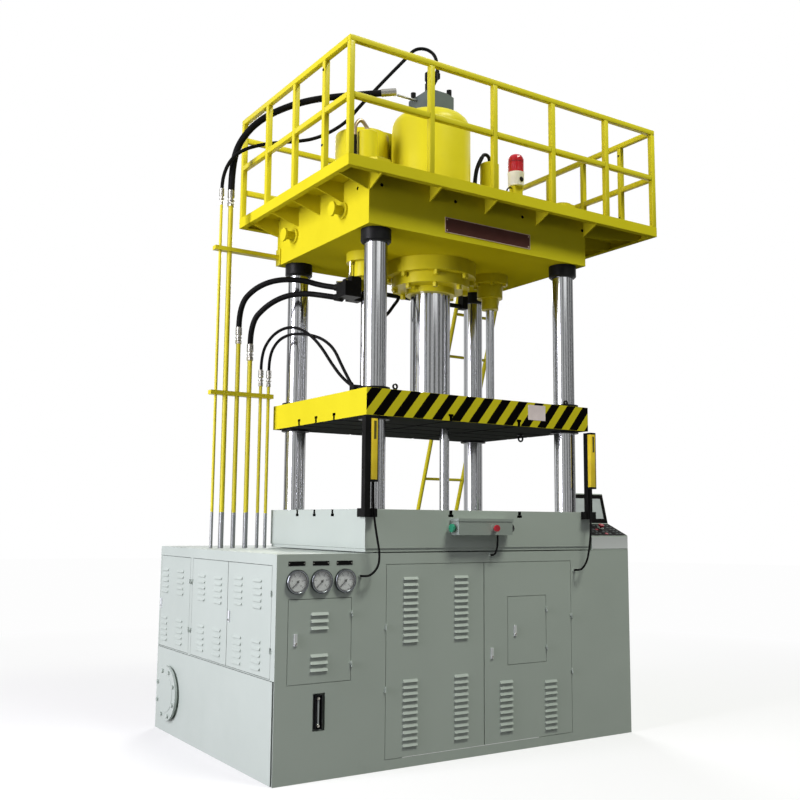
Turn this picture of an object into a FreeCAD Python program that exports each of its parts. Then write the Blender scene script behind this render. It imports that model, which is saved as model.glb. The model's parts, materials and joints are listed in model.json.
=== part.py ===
import FreeCAD, Part
import math
import os
import re
import Sketcher
from FreeCAD import Placement, Rotation, Vector

# Four-column hydraulic press. Millimetres, +X right, +Y back, +Z up.
# The origin is on the floor, under the middle of the base cabinet.

doc = FreeCAD.newDocument("hydraulic_press")
sheet = doc.addObject("Spreadsheet::Sheet", "sizes")

# ---------------------------------------------------------------- driving sizes
SIZES = {
    # base cabinet
    "base_width": 2640, "base_depth": 1790, "base_height": 1200,
    "sheet_wall": 4, "door_wall": 3, "door_gap": 3, "door_fold": 18,
    "tank_gap": 7, "tank_height": 531, "tank_wall": 6, "tank_setback": 24,
    "front_door_low": 55, "front_top_rail": 63,
    "front_door_left": -627, "front_door_right": 792, "front_door_seam": 79,
    "small_door_left": -1248, "small_door_right": -853,
    "small_door_low": 508, "small_door_drop": 92,
    "hatch_left": 262, "hatch_right": 578, "hatch_low": 510, "hatch_top": 925,
    "side_sill": 9, "side_top_rail": 60,
    "side_door_front": -842, "side_door_seam": -255,
    "side_post_front": 306, "side_post_back": 342, "side_door_back": 878,
    "hinge_radius": 6, "hinge_pin": 3, "hinge_half": 15, "hinge_leaf": 12,
    "running_gap": 0.08, "seat_gap": 0.3,
    # louvres
    "louvre_rise": 10, "louvre_height": 16, "louvre_wall": 2, "front_louvre_pitch": 35.5,
    # bed
    "press_offset": 97, "bed_width": 1740, "bed_depth": 1222, "bed_lift": 6,
    "bed_thickness": 244, "bed_foot": 20, "bed_foot_inset": 6, "cover_under": 20,
    "slot_neck": 22, "slot_wide": 37, "slot_neck_depth": 26, "slot_foot_depth": 16,
    "slot_pitch_side": 230, "slot_pitch_front": 268,
    "pedestal_width": 200, "pedestal_wall": 20, "pedestal_inset": 80, "pedestal_setback": 25,
    "tie_width": 200,
    # columns and slide
    "column_radius": 70, "column_inset_x": 116, "column_inset_y": 106,
    "nut_radius": 95, "nut_height": 90, "nut_recess": 98,
    "daylight": 1677, "slide_opening": 540, "slide_thickness": 160,
    "bush_wall": 12, "bush_length": 60, "bush_flange": 94, "bush_flange_height": 16,
    "collar_radius": 93, "collar_height": 83, "collar_bevel": 10,
    # crosshead
    "crosshead_height": 338, "lug_shaft": 28, "lug_inner": 52,
    "lug_outer": 45, "lug_length": 90, "lug_level": 150, "lug_first": 301, "lug_second": 956,
    "tapping_radius": 11, "tapping_depth": 30, "tapping_drop": 90,
    # main cylinder
    "ram_radius": 135, "ram_length": 1400, "cylinder_radius": 215, "cylinder_bore": 150,
    "drum_radius": 276, "drum_height": 735, "drum_shoulder": 110, "drum_bore_top": 615,
    "gland_one": 312, "gland_one_height": 97, "gland_two": 268, "gland_two_height": 72,
    "gland_three": 168, "gland_three_height": 42, "bolt_inset": 26,
    "bolt_across": 40, "bolt_head": 30, "side_bolt_across": 30, "side_bolt_head": 18,
    # side cylinders
    "side_offset": 520, "side_rod": 29, "side_body": 70, "side_bore": 50,
    "side_head_height": 505, "side_one": 128, "side_one_height": 62,
    "side_two": 91, "side_two_height": 100, "side_three": 60, "side_three_height": 80,
    "rod_length": 1190, "piston_height": 30,
    "tell_rod_forward": 170, "tell_rod": 32, "tell_rod_length": 1060,
    # valve block, tank and platform
    "valve_width": 228, "valve_height": 150, "valve_bevel": 60, "valve_neck": 27,
    "valve_neck_height": 150, "valve_bolt": 14, "valve_bolt_height": 40,
    "feed_tank_width": 650, "feed_tank_depth": 320, "feed_tank_height": 685,
    "deck_left": 224, "deck_right": 563, "deck_front": 139, "deck_back": 154,
    "deck_plate": 8, "fascia_height": 69, "fascia_wall": 6, "fascia_lip": 40,
    "gusset_wall": 10, "gusset_drop": 131,
    "rail_height": 717, "rail_mid": 377, "rail_tube": 36,
    "back_rail_top": 588, "back_rail_mid": 208,
    "front_post_first": 565, "front_post_pitch": 489, "side_post_pitch": 393,
    # ladder
    "ladder_left": 1000, "ladder_width": 400, "ladder_tube": 17, "rung_tube": 12,
    "rung_pitch": 333, "rung_drop": 52, "ladder_lean": 0.33, "ladder_hook": 40, "ladder_foot": 30,
    # pipes
    "riser_row": 300, "clamp_width": 50, "clamp_height": 28,
    "upper_clamp_level": 3180, "lower_clamp_level": 2210, "clamp_end": -1250,
    # small fittings
    "gauge_radius": 66, "gauge_body": 50, "gauge_depth": 45, "gauge_drop": 148,
    "gauge_first": -1197, "gauge_pitch": 148.5, "gauge_rim": 20, "gauge_dial": 56,
    "beacon_offset_x": 585, "beacon_offset_y": -620, "beacon_stand": 229,
    "beacon_radius": 58, "beacon_base_height": 100, "beacon_dome_height": 130,
    "curtain_width": 50, "curtain_depth": 34, "curtain_height": 372, "curtain_rise": 152,
    "curtain_post": 38, "curtain_overhang": 15, "curtain_inset": 59,
    "control_width": 410, "control_depth": 78, "control_height": 82, "control_drop": 147,
    "console_width": 335, "console_front": 95, "console_back": 340, "console_gap": 18,
}


def fill_sheet():
    """Each size is one cell with its name beside it and an alias."""
    for row, (name, size) in enumerate(SIZES.items(), start=1):
        sheet.set(f"A{row}", name)
        sheet.set(f"B{row}", str(size))
        sheet.setAlias(f"B{row}", name)


fill_sheet()
doc.recompute()

# ---------------------------------------------------------------- worked-out places
places = doc.addObject("App::VarSet", "places")
PLACES = {
    "base_left": "-base_width / 2",
    "base_right": "base_width / 2",
    "base_front": "-base_depth / 2",
    "base_back": "base_depth / 2",
    "bed_left": "press_offset - bed_width / 2",
    "bed_right": "press_offset + bed_width / 2",
    "bed_back": "base_front + bed_depth",
    "centre_y": "base_front + bed_depth / 2",
    "bed_bottom": "base_height + bed_lift",
    "bed_top": "bed_bottom + bed_thickness",
    "slide_bottom": "bed_top + slide_opening",
    "slide_top": "slide_bottom + slide_thickness",
    "head_bottom": "bed_top + daylight",
    "head_top": "head_bottom + crosshead_height",
    "column_pitch_x": "bed_width - 2 * column_inset_x",
    "column_pitch_y": "bed_depth - 2 * column_inset_y",
    "column_foot": "bed_bottom + 4",
    "column_top": "head_top + nut_height + 10",
    "bush_radius": "column_radius + bush_wall",
    "slot_depth": "slot_neck_depth + slot_foot_depth",
    "gland_bottom": "head_bottom - gland_one_height - gland_two_height - gland_three_height",
    "side_bottom": "head_bottom - side_one_height - side_two_height - side_three_height",
    "drum_top": "head_top + drum_height",
    "side_top": "head_top + side_head_height",
    "deck_left_edge": "bed_left - deck_left",
    "deck_right_edge": "bed_right + deck_right",
    "deck_front_edge": "base_front - deck_front",
    "deck_back_edge": "bed_back + deck_back",
    "post_bottom": "head_top",
    "valve_top": "drum_top + valve_height",
    "hinge_stand": "hinge_radius + 0.5",
    "front_door_top": "base_height - front_top_rail",
    "side_door_low": "tank_height + side_sill",
    "side_door_top": "base_height - side_top_rail",
    "gauge_level": "base_height - gauge_drop",
    "small_door_top": "gauge_level - small_door_drop",
    "pedestal_left": "bed_left + pedestal_inset",
    "riser_foot": "base_height - 50",
    "tank_width": "pedestal_left - tank_gap - base_left",
    "control_level": "bed_top - control_drop",
    "console_left": "bed_right + console_gap",
    "curtain_left": "bed_left - curtain_overhang",
    "curtain_right": "bed_right - curtain_inset",
    "curtain_clamp": "bed_top - 46",
    "curtain_level": "bed_top + curtain_rise",
    "ladder_top": "head_top - 10",
    "ladder_back": "deck_back_edge + 44",
}
ALL_NAMES = {name: f"sizes.{name}" for name in SIZES}
ALL_NAMES.update({name: f"places.{name}" for name in PLACES})


def spell(formula):
    """A formula in plain names becomes one that points at the sheet and the places."""
    return re.sub(r"[a-z][a-z_0-9]*", lambda word: ALL_NAMES.get(word.group(0), word.group(0)), str(formula))


for place_name, formula in PLACES.items():
    places.addProperty("App::PropertyFloat", place_name)
    places.setExpression(place_name, spell(formula))
doc.recompute()


def size(name):
    """The number behind a size or a place."""
    return float(sheet.get(name)) if name in SIZES else float(getattr(places, name))


# ---------------------------------------------------------------- building blocks
NODES = []


def bind(thing, **formulas):
    """Each keyword is a property of the thing, bound to its formula."""
    for name, formula in formulas.items():
        thing.setExpression(name, spell(formula))
    return thing


def put(thing, x=0, y=0, z=0):
    """The thing's place is bound to three formulas."""
    for axis, formula in zip("xyz", (x, y, z)):
        thing.setExpression(f"Placement.Base.{axis}", spell(formula))
    return thing


def box(x, y, z, length, width, height, name="block"):
    """A block from its lowest corner."""
    block = bind(doc.addObject("Part::Box", name), Length=length, Width=width, Height=height)
    return put(block, x, y, z)


AXES = {"z": Rotation(), "x": Rotation(Vector(0, 1, 0), 90), "-x": Rotation(Vector(0, 1, 0), -90),
        "y": Rotation(Vector(1, 0, 0), -90), "-y": Rotation(Vector(1, 0, 0), 90)}


def rod(x, y, z, radius, height, axis="z", name="rod"):
    """A cylinder from the middle of its first face, along an axis."""
    cylinder = bind(doc.addObject("Part::Cylinder", name), Radius=radius, Height=height)
    cylinder.Placement = Placement(Vector(), AXES[axis])
    return put(cylinder, x, y, z)


def cone(x, y, z, first, last, height, axis="z", name="cone"):
    """A cone from radius first to radius last."""
    taper = bind(doc.addObject("Part::Cone", name), Radius1=first, Radius2=last, Height=height)
    taper.Placement = Placement(Vector(), AXES[axis])
    return put(taper, x, y, z)


def hexagon(x, y, z, across, height, axis="z", name="hexagon"):
    """A bolt head or nut, by its width across corners."""
    prism = doc.addObject("Part::Prism", name)
    prism.Polygon = 6
    bind(prism, Circumradius=f"({across}) / 2", Height=height)
    prism.Placement = Placement(Vector(), AXES[axis])
    return put(prism, x, y, z)


def wedge(x, y, z, length, rise, height, name="wedge"):
    """A hood on a face that looks to -Y: nothing at its top, rise at its foot."""
    hood = doc.addObject("Part::Wedge", name)
    bind(hood, Xmin="0", Xmax=length, X2min="0", X2max=length, Ymin="0", Ymax=height,
         Zmin="0", Zmax=rise, Z2min="0", Z2max="0.2")
    hood.Placement = Placement(Vector(), Rotation(Vector(1, 0, 0), 90))
    return put(hood, x, y, z)


def fuse(parts, name="fusion"):
    """One solid from several."""
    if len(parts) == 1:
        return parts[0]
    fusion = doc.addObject("Part::MultiFuse", name)
    fusion.Shapes = parts
    fusion.Refine = True
    return fusion


def cut(base, tools, name="cut"):
    """The base without its tools."""
    result = doc.addObject("Part::Cut", name)
    result.Base = base
    result.Tool = tools[0] if len(tools) == 1 else group(tools)
    return result


def group(parts, name="group"):
    """Separate solids that share a name."""
    compound = doc.addObject("Part::Compound", name)
    compound.Links = parts
    return compound


def node(label, thing):
    """A finished sub-part with its own name."""
    thing.Label = label
    NODES.append(thing)
    return thing


def plane_of(body, role):
    """An origin plane of a body."""
    return [feature for feature in body.Origin.OriginFeatures if feature.Role == role][0]


def draw(body, plane, points, name="profile"):
    """A closed outline of straight sides whose corners are bound to formulas."""
    sketch = body.newObject("Sketcher::SketchObject", name)
    sketch.AttachmentSupport = [(plane_of(body, plane), "")]
    sketch.MapMode = "FlatFace"
    rough = [Vector(10 * math.cos(k), 10 * math.sin(k), 0) for k in range(len(points))]
    for k, corner in enumerate(rough):
        sketch.addGeometry(Part.LineSegment(corner, rough[(k + 1) % len(rough)]), False)
    for k in range(len(points)):
        sketch.addConstraint(Sketcher.Constraint("Coincident", k, 2, (k + 1) % len(points), 1))
    for k, corner in enumerate(points):
        for kind, formula in zip(("DistanceX", "DistanceY"), corner):
            index = sketch.addConstraint(Sketcher.Constraint(kind, -1, 1, k, 1, 1.0 + k))
            sketch.setExpression(f"Constraints[{index}]", spell(formula))
    return sketch


def turned(points, name="turned"):
    """A body of revolution about +Z from an outline of (radius, height)."""
    body = doc.addObject("PartDesign::Body", name)
    sketch = draw(body, "XZ_Plane", points)
    turn = body.newObject("PartDesign::Revolution", f"{name}_turn")
    turn.Profile = sketch
    turn.ReferenceAxis = (sketch, ["V_Axis"])
    turn.Angle = 360
    return body


def drawn(points, plane, length, name="drawn"):
    """A body pushed out to both sides of a plane from an outline."""
    body = doc.addObject("PartDesign::Body", name)
    sketch = draw(body, plane, points)
    pad = body.newObject("PartDesign::Pad", f"{name}_pad")
    pad.Profile = sketch
    pad.SideType = "Symmetric"
    bind(pad, Length=length)
    return body


def column_spots():
    """The four columns' places, front left first."""
    return [(f"press_offset {sx} column_pitch_x / 2", f"centre_y {sy} column_pitch_y / 2")
            for sy in "-+" for sx in "-+"]


def ring_spots(count, radius, x, y, turn=0):
    """Places round a circle."""
    step = 360 / count
    return [(f"{x} + ({radius}) * cos({turn + step * k})", f"{y} + ({radius}) * sin({turn + step * k})")
            for k in range(count)]


def outlined(points, plane, length, x=0, y=0, z=0, name="drawn"):
    """A body drawn on a plane and put in its place."""
    return put(drawn(points, plane, length, name), x, y, z)


# ---------------------------------------------------------------- doors and panels
# Panels and doors are drawn with their outer face at y = 0 and their inside at +Y.
FRONT_FACE = Rotation()
LEFT_FACE = Rotation(Vector(0, 0, 1), -90)


def set_face(thing, face):
    """The finished panel or door is turned to its side of the cabinet."""
    thing.Placement = Placement(Vector(), face)
    if face is FRONT_FACE:
        return put(thing, 0, "base_front", 0)
    return put(thing, "base_left", 0, 0)


def opening(left, right, low, top):
    """A rectangular cut through a panel."""
    return box(left, "-40", low, f"({right}) - ({left})", "80", f"({top}) - ({low})", "opening")


def hinge(x, z, way, moving):
    """Half a lift-off hinge: the door's half sits over the fixed half and its pin."""
    start = f"({x}) - hinge_leaf" if way * (1 if moving else -1) > 0 else x
    if moving:
        barrel = rod(x, "-hinge_stand", f"({z}) + seat_gap / 2", "hinge_radius", "hinge_half")
        leaf = box(start, "-2.5", f"({z}) + seat_gap / 2", "hinge_leaf", "2.5", "hinge_half", "leaf")
        bore = rod(x, "-hinge_stand", f"({z}) - 5", "hinge_pin + running_gap", "hinge_half + 2")
        return [barrel, leaf], [bore]
    barrel = rod(x, "-hinge_stand", f"({z}) - hinge_half", "hinge_radius", "hinge_half - seat_gap / 2")
    leaf = box(start, "-2.5", f"({z}) - hinge_half", "hinge_leaf", "2.5", "hinge_half - seat_gap / 2", "leaf")
    pin = rod(x, "-hinge_stand", f"({z}) - 10", "hinge_pin", "hinge_half + 4", name="hinge_pin")
    return [barrel, leaf, pin], []


def louvre(x, z, length):
    """A pressed hood with its mouth at the bottom, and the slot behind it."""
    hood = wedge(x, 0, z, length, "louvre_rise", "louvre_height", "hood")
    mouth = wedge(f"{x} + louvre_wall", 0, z, f"{length} - 2 * louvre_wall",
                  "louvre_rise - louvre_wall", "louvre_height - louvre_wall", "mouth")
    slot = box(f"{x} + louvre_wall", "-0.01", z, f"{length} - 2 * louvre_wall",
               "door_wall + 1", "louvre_height - 2 * louvre_wall", "slot")
    return hood, [mouth, slot]


def lock(x, z):
    """A flush swing handle with its keyed barrel."""
    return [box(f"{x} - 9", "-7", f"{z} - 32", "18", "8", "64", "handle"),
            rod(x, "-9", f"{z} - 20", "7", "10", "y", "key_barrel")]


def door(label, face, edges, side, hinge_heights, louvres=(), handle=None, hatch=None):
    """A folded sheet door: edges are (left, right, low, top) of its opening in the panel."""
    left, right, low, top = edges
    x, z = f"({left}) + door_gap", f"({low}) + door_gap"
    width = f"({right}) - ({left}) - 2 * door_gap"
    height = f"({top}) - ({low}) - 2 * door_gap"
    solids = [box(x, 0, z, width, "door_fold", height, "tray")]
    holes = [box(f"{x} + door_wall", "door_wall", f"{z} + door_wall", f"{width} - 2 * door_wall",
                 "door_fold", f"{height} - 2 * door_wall", "tray_inside")]
    pin_x, way = (left, -1) if side == "left" else (right, 1)
    for level in hinge_heights:
        added, removed = hinge(pin_x, level, way, True)
        solids += added
        holes += removed
    for start, highest, count, pitch, length in louvres:
        for k in range(count):
            hood, cuts = louvre(start, f"{highest} - {k} * ({pitch})", length)
            solids.append(hood)
            holes += cuts
    if handle:
        solids += lock(*handle)
    if hatch:
        hatch_edges, hatch_hinges = hatch
        holes.append(opening(*hatch_edges))
        for level in hatch_hinges:
            solids += hinge(hatch_edges[1], level, 1, False)[0]
    return node(label, set_face(cut(fuse(solids, f"{label}_sheet"), holes, label), face))


FRONT_HINGES = ("front_door_low + 383", "front_door_top - 351")
SMALL_HINGES = ("small_door_low + 90", "small_door_top - 90")
HATCH_HINGES = ("hatch_low + 90", "hatch_top - 90")
SIDE_HINGES = ("side_door_low + 150", "side_door_top - 150")
SMALL_EDGES = ("small_door_left", "small_door_right", "small_door_low", "small_door_top")
LEFT_EDGES = ("front_door_left", "front_door_seam", "front_door_low", "front_door_top")
RIGHT_EDGES = ("front_door_seam", "front_door_right", "front_door_low", "front_door_top")
HATCH_EDGES = ("hatch_left", "hatch_right", "hatch_low", "hatch_top")
SIDE_LEVELS = ("side_door_low", "side_door_top")
# on the left face a door's own x runs to the front, so it is minus the row's y
SIDE_EDGES = {
    "side_door_back": ("-side_door_back", "-side_post_back") + SIDE_LEVELS,
    "side_door_middle": ("-side_post_front", "-side_door_seam") + SIDE_LEVELS,
    "side_door_front": ("-side_door_seam", "-side_door_front") + SIDE_LEVELS,
}
SIDE_HINGED = {"side_door_back": "right", "side_door_middle": "left", "side_door_front": "right"}
SIDE_LOUVRES = {
    "side_door_back": [(start, level, 5, 36, 110) for start in ("-side_door_back + 33", "-side_door_back + 308")
                       for level in ("side_door_top - 100", "side_door_low + 185")],
    "side_door_middle": [(start, level, 5, 36, 110) for start in ("-side_post_front + 101", "-side_post_front + 361")
                         for level in ("side_door_top - 110", "side_door_low + 185")],
    "side_door_front": [(start, level, 5, 36, 110) for start in ("-side_door_seam + 95", "-side_door_seam + 350")
                        for level in ("side_door_top - 95", "side_door_low + 175")],
}
SIDE_HANDLES = {"side_door_back": ("-side_door_back + 24", "side_door_low + 282"), "side_door_middle": None,
                "side_door_front": ("-side_door_seam + 35", "side_door_low + 287")}


def make_doors():
    """The cabinet's seven doors."""
    door("small_door", FRONT_FACE, SMALL_EDGES, "right", SMALL_HINGES,
         [("small_door_left + 141", "small_door_top - 90", 3, 38, 105),
          ("small_door_left + 141", "small_door_low + 140", 3, 38, 105)],
         ("small_door_left + 48", "small_door_low + 237"))
    front_columns = [(start, level, 11, "front_louvre_pitch", 100)
                     for start in ("front_door_left + 119", "front_door_left + 483")
                     for level in ("front_door_top - 91", "front_door_low + 413")]
    door("front_door_left", FRONT_FACE, LEFT_EDGES, "left", FRONT_HINGES, front_columns)
    door("front_door_right", FRONT_FACE, RIGHT_EDGES, "right", FRONT_HINGES,
         [("front_door_seam + 121", "front_door_low + 350", 9, "front_louvre_pitch", 100),
          ("front_door_seam + 483", "front_door_low + 325", 9, "front_louvre_pitch", 98)],
         ("front_door_seam + 60", "front_door_low + 535"), (HATCH_EDGES, HATCH_HINGES))
    door("inspection_door", FRONT_FACE, HATCH_EDGES, "right", HATCH_HINGES, (),
         ("hatch_left + 60", "hatch_low + 206"))
    for label, edges in SIDE_EDGES.items():
        door(label, LEFT_FACE, edges, SIDE_HINGED[label], SIDE_HINGES, SIDE_LOUVRES[label],
             SIDE_HANDLES[label])


RISERS = {
    # name: (x, radius, top)
    "pilot": ("-1207", "10", "3480"), "prefill": ("-1140", "17", "3480"),
    "upper_return": ("-1056", "15", "2549"), "upper_feed": ("-970", "16", "2443"),
    "slide_feed": ("-886", "11", "2276"), "slide_return": ("-828", "11", "2276"),
}
GROMMETS = {"left_curtain": ("-800", "base_height - 125"), "right_curtain": ("822", "base_height - 124"),
            "control": ("132", "base_height - 20")}


def make_cabinet():
    """The front panel, then the left, right, back and top sheets."""
    width, depth = "base_width", "base_depth"
    sheet_front = [box("base_left", 0, 0, width, "sheet_wall", "base_height", "front_sheet")]
    holes = [opening(*SMALL_EDGES),
             opening("front_door_left", "front_door_right", "front_door_low", "front_door_top"),
             opening("-1088", "-1013", "258", "456")]
    for k in range(3):
        holes.append(rod(f"gauge_first + {k} * gauge_pitch", "-20", "gauge_level",
                         "gauge_body + seat_gap", "60", "y", "gauge_hole"))
    for level in SMALL_HINGES:
        sheet_front += hinge("small_door_right", level, 1, False)[0]
    for level in FRONT_HINGES:
        sheet_front += hinge("front_door_left", level, -1, False)[0]
        sheet_front += hinge("front_door_right", level, 1, False)[0]
    for x, z in GROMMETS.values():
        sheet_front.append(rod(x, "-5", z, "13", "7", "y", "grommet"))
    node("cabinet_front", set_face(cut(fuse(sheet_front), holes), FRONT_FACE))

    side = [box("-base_depth / 2 + sheet_wall", 0, "tank_height + 4", "base_depth - 2 * sheet_wall",
                "sheet_wall", "base_height - tank_height - 4 - sheet_wall", "left_sheet")]
    side_holes = [opening("-side_door_back", "-side_post_back", *SIDE_LEVELS),
                  opening("-side_post_front", "-side_door_front", *SIDE_LEVELS)]
    for label, edges in SIDE_EDGES.items():
        hinged_right = SIDE_HINGED[label] == "right"
        for level in SIDE_HINGES:
            side += hinge(edges[1] if hinged_right else edges[0], level, 1 if hinged_right else -1, False)[0]
    left = set_face(cut(fuse(side), side_holes), LEFT_FACE)
    inner_y, inner_depth = "base_front + sheet_wall", "base_depth - 2 * sheet_wall"
    right = box("base_right - sheet_wall", inner_y, 0, "sheet_wall", inner_depth,
                "base_height - sheet_wall", "right_sheet")
    back = box("base_left", "base_back - sheet_wall", 0, width, "sheet_wall", "base_height", "back_sheet")
    top = box("base_left", inner_y, "base_height - sheet_wall", width, inner_depth, "sheet_wall", "top_sheet")
    well = [box("bed_left + 30", "base_front", "base_height - 20", "bed_width - 60",
                "bed_depth - 25", "40", "bed_well")]
    for x, radius, _top in RISERS.values():
        well.append(rod(x, "riser_row", "base_height - 20", f"{radius} + seat_gap", "40"))
    node("cabinet_panels", group([left, right, back, cut(top, well)]))


def make_tank():
    """The oil tank under the left doors, its clean-out cover and its level gauge."""
    depth = "base_depth - tank_setback - sheet_wall - seat_gap"
    outer = box("base_left", "base_front + tank_setback", 0, "tank_width", depth, "tank_height", "tank_outer")
    inner = box("base_left + tank_wall", "base_front + tank_setback + tank_wall", "tank_wall",
                "tank_width - 2 * tank_wall", f"{depth} - 2 * tank_wall",
                "tank_height - 2 * tank_wall", "tank_inside")
    neck = rod("base_left + 1", "640", "258", "150", "15", "-x", "neck")
    hole = rod("base_left + 40", "640", "258", "125", "80", "-x", "hand_hole")
    node("oil_tank", cut(fuse([outer, neck]), [inner, hole]))
    rim = rod("base_left - 14", "640", "258", "172", "16", "-x", "cover_rim")
    boss = rod("base_left - 29", "640", "258", "120", "4", "-x", "cover_boss")
    bolts = [hexagon("base_left - 30", y, z, 26, 12, "-x")
             for y, z in ring_spots(8, "148", "640", "258", 22.5)]
    node("clean_out_cover", group([fuse([rim, boss])] + bolts))
    gauge = [box("-1071", "base_front - 3", "266", "41", "tank_setback + 3", "180", "gauge_body"),
             rod("-1050.5", "base_front - 5", "286", "9", "10", "y"),
             rod("-1050.5", "base_front - 5", "426", "9", "10", "y")]
    shell = cut(fuse(gauge), [box("-1059", "base_front - 12", "302", "17", "11", "108", "sight_slot")])
    node("oil_level_gauge", shell)


def make_power_unit():
    """Motor, pump and valve manifold over the tank."""
    x, z = "-1010", "tank_height + 185"
    motor = [rod(x, "-520", z, "150", "400", "y", "motor_frame"),
             rod(x, "-548", z, "128", "30", "y", "fan_cowl"),
             rod(x, "-122", z, "165", "22", "y", "motor_flange"),
             box("-1120", "-480", "tank_height", "220", "300", "60", "motor_feet"),
             box("-1075", "-400", "tank_height + 325", "130", "150", "70", "terminal_box")]
    for k in range(18):
        motor.append(turn_fin(k, x, "-320", z))
    node("motor", fuse(motor))
    pump = [rod(x, "-100", z, "120", "110", "y", "bell_housing"),
            rod(x, "10", z, "80", "150", "y", "pump_body"),
            box("-1050", "40", "tank_height", "80", "80", "120", "pump_foot")]
    node("pump", fuse(pump))
    block = [box("-1260", "riser_row - 70", "riser_foot - 140", "490", "140", "140", "manifold_block"),
             box("-1240", "riser_row - 50", "tank_height", "20", "100",
                 "riser_foot - 129 - tank_height", "manifold_leg"),
             box("-810", "riser_row - 50", "tank_height", "20", "100",
                 "riser_foot - 129 - tank_height", "manifold_leg")]
    for k in range(4):
        middle = -1195 + 120 * k
        block.append(box(middle - 30, "riser_row - 130", "riser_foot - 110", "60", "60", "80", "valve_body"))
        block.append(rod(middle, "riser_row - 180", "riser_foot - 70", "22", "60", "y", "valve_coil"))
    node("valve_manifold", fuse(block))
    panel = box("base_right - sheet_wall - 200", "-200", "300", "200", "700", "700", "panel_case")
    inside = box("base_right - sheet_wall - 197", "-197", "303", "194", "694", "694", "panel_inside")
    node("electrical_panel", cut(panel, [inside]))


def turn_fin(k, x, y, z):
    """One of the motor's cooling fins, round its middle."""
    fin = bind(doc.addObject("Part::Box", "fin"), Length="6", Width="300", Height="14")
    turned_fin = Rotation(Vector(0, 1, 0), 20 * k)
    fin.Placement = Placement(turned_fin.multVec(Vector(-3, -150, 148)), turned_fin)
    return put(group([fin], "fin_place"), x, y, z)


# ---------------------------------------------------------------- bed, slide and crosshead
def slots(top, way):
    """T-slots cut from a table's face: three along X and two along Y."""
    cutters = []
    neck_z = f"({top}) - slot_neck_depth" if way < 0 else f"({top}) - 5"
    foot_z = f"({top}) - slot_depth" if way < 0 else f"({top}) + slot_neck_depth"
    for k in (-1, 0, 1):
        for width, z, height in (("slot_neck", neck_z, "slot_neck_depth + 5"),
                                 ("slot_wide", foot_z, "slot_foot_depth")):
            cutters.append(box("bed_left - 5", f"centre_y + {k} * slot_pitch_side - {width} / 2", z,
                               "bed_width + 10", width, height, "slot"))
            if k:
                cutters.append(box(f"press_offset + {k} * slot_pitch_front - {width} / 2",
                                   "base_front - 5", z, width, "bed_depth + 10", height, "slot"))
    return cutters


def column_bores(z, radius, height):
    """A round cutter round each column."""
    return [rod(x, y, z, radius, height, name="column_bore") for x, y in column_spots()]


def make_bed():
    """The bed on its foot, and the two pedestals under it."""
    body = box("bed_left", "base_front", "bed_bottom + bed_foot", "bed_width", "bed_depth",
               "bed_thickness - bed_foot", "bed_block")
    foot = box("bed_left + bed_foot_inset", "base_front + bed_foot_inset", "bed_bottom",
               "bed_width - 2 * bed_foot_inset", "bed_depth - 2 * bed_foot_inset", "bed_foot + 1", "foot")
    cutters = slots("bed_top", -1)
    cutters += column_bores("bed_bottom - 5", "column_radius + seat_gap", "bed_thickness + 10")
    cutters += column_bores("bed_bottom - 5", "nut_recess", "nut_height + 19")
    cutters.append(rod("press_offset", "centre_y - tell_rod_forward", "bed_bottom - 5", "tell_rod + 1",
                       "bed_thickness + 10", name="tell_bore"))
    node("bed", cut(fuse([body, foot]), cutters))
    tie_start = "pedestal_left + pedestal_width"
    tie = box(tie_start, "-tie_width / 2", 0, f"bed_right - pedestal_inset - pedestal_width - ({tie_start})",
              "tie_width", "pedestal_wall", "floor_tie")
    node("pedestals", group([pedestal("pedestal_left", 1), pedestal("bed_right - pedestal_inset", -1), tie]))


def pedestal(x, way):
    """A welded stand under one side of the bed: web outside, ribs and plates towards the middle."""
    depth, wall = "bed_depth - 2 * pedestal_setback", "pedestal_wall"
    front, start = "base_front + pedestal_setback", x if way > 0 else f"{x} - pedestal_width"
    web = box(start if way > 0 else f"{x} - {wall}", front, 0, wall, depth, "bed_bottom", "web")
    plates = [box(start, front, z, "pedestal_width", depth, wall, "plate") for z in (0, f"bed_bottom - {wall}")]
    ribs = [box(start, f"{front} + {k} * ({depth} - {wall}) / 3", 0, "pedestal_width", wall, "bed_bottom", "rib")
            for k in range(4)]
    return fuse([web] + plates + ribs, "pedestal")


def make_columns():
    """Four columns with a nut at each end and a collar under the crosshead."""
    node("columns", group([rod(x, y, "column_foot", "column_radius", "column_top - column_foot", name="column")
                           for x, y in column_spots()]))
    nuts = []
    for x, y in column_spots():
        for z in ("column_foot", "head_top"):
            hexed = hexagon(x, y, z, "2 * nut_radius", "nut_height")
            nuts.append(cut(hexed, [rod(x, y, f"({z}) - 5", "column_radius + seat_gap / 2", "nut_height + 10")]))
    node("column_nuts", group(nuts))
    collars = []
    for x, y in column_spots():
        z = "head_bottom - collar_height"
        lip = cone(x, y, z, "collar_radius - collar_bevel", "collar_radius", "collar_bevel")
        ring = rod(x, y, f"{z} + collar_bevel", "collar_radius", "collar_height - collar_bevel")
        bore = rod(x, y, f"{z} - 5", "column_radius + seat_gap / 2", "collar_height + 10")
        collars.append(cut(fuse([lip, ring]), [bore]))
    node("column_collars", group(collars))


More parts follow.
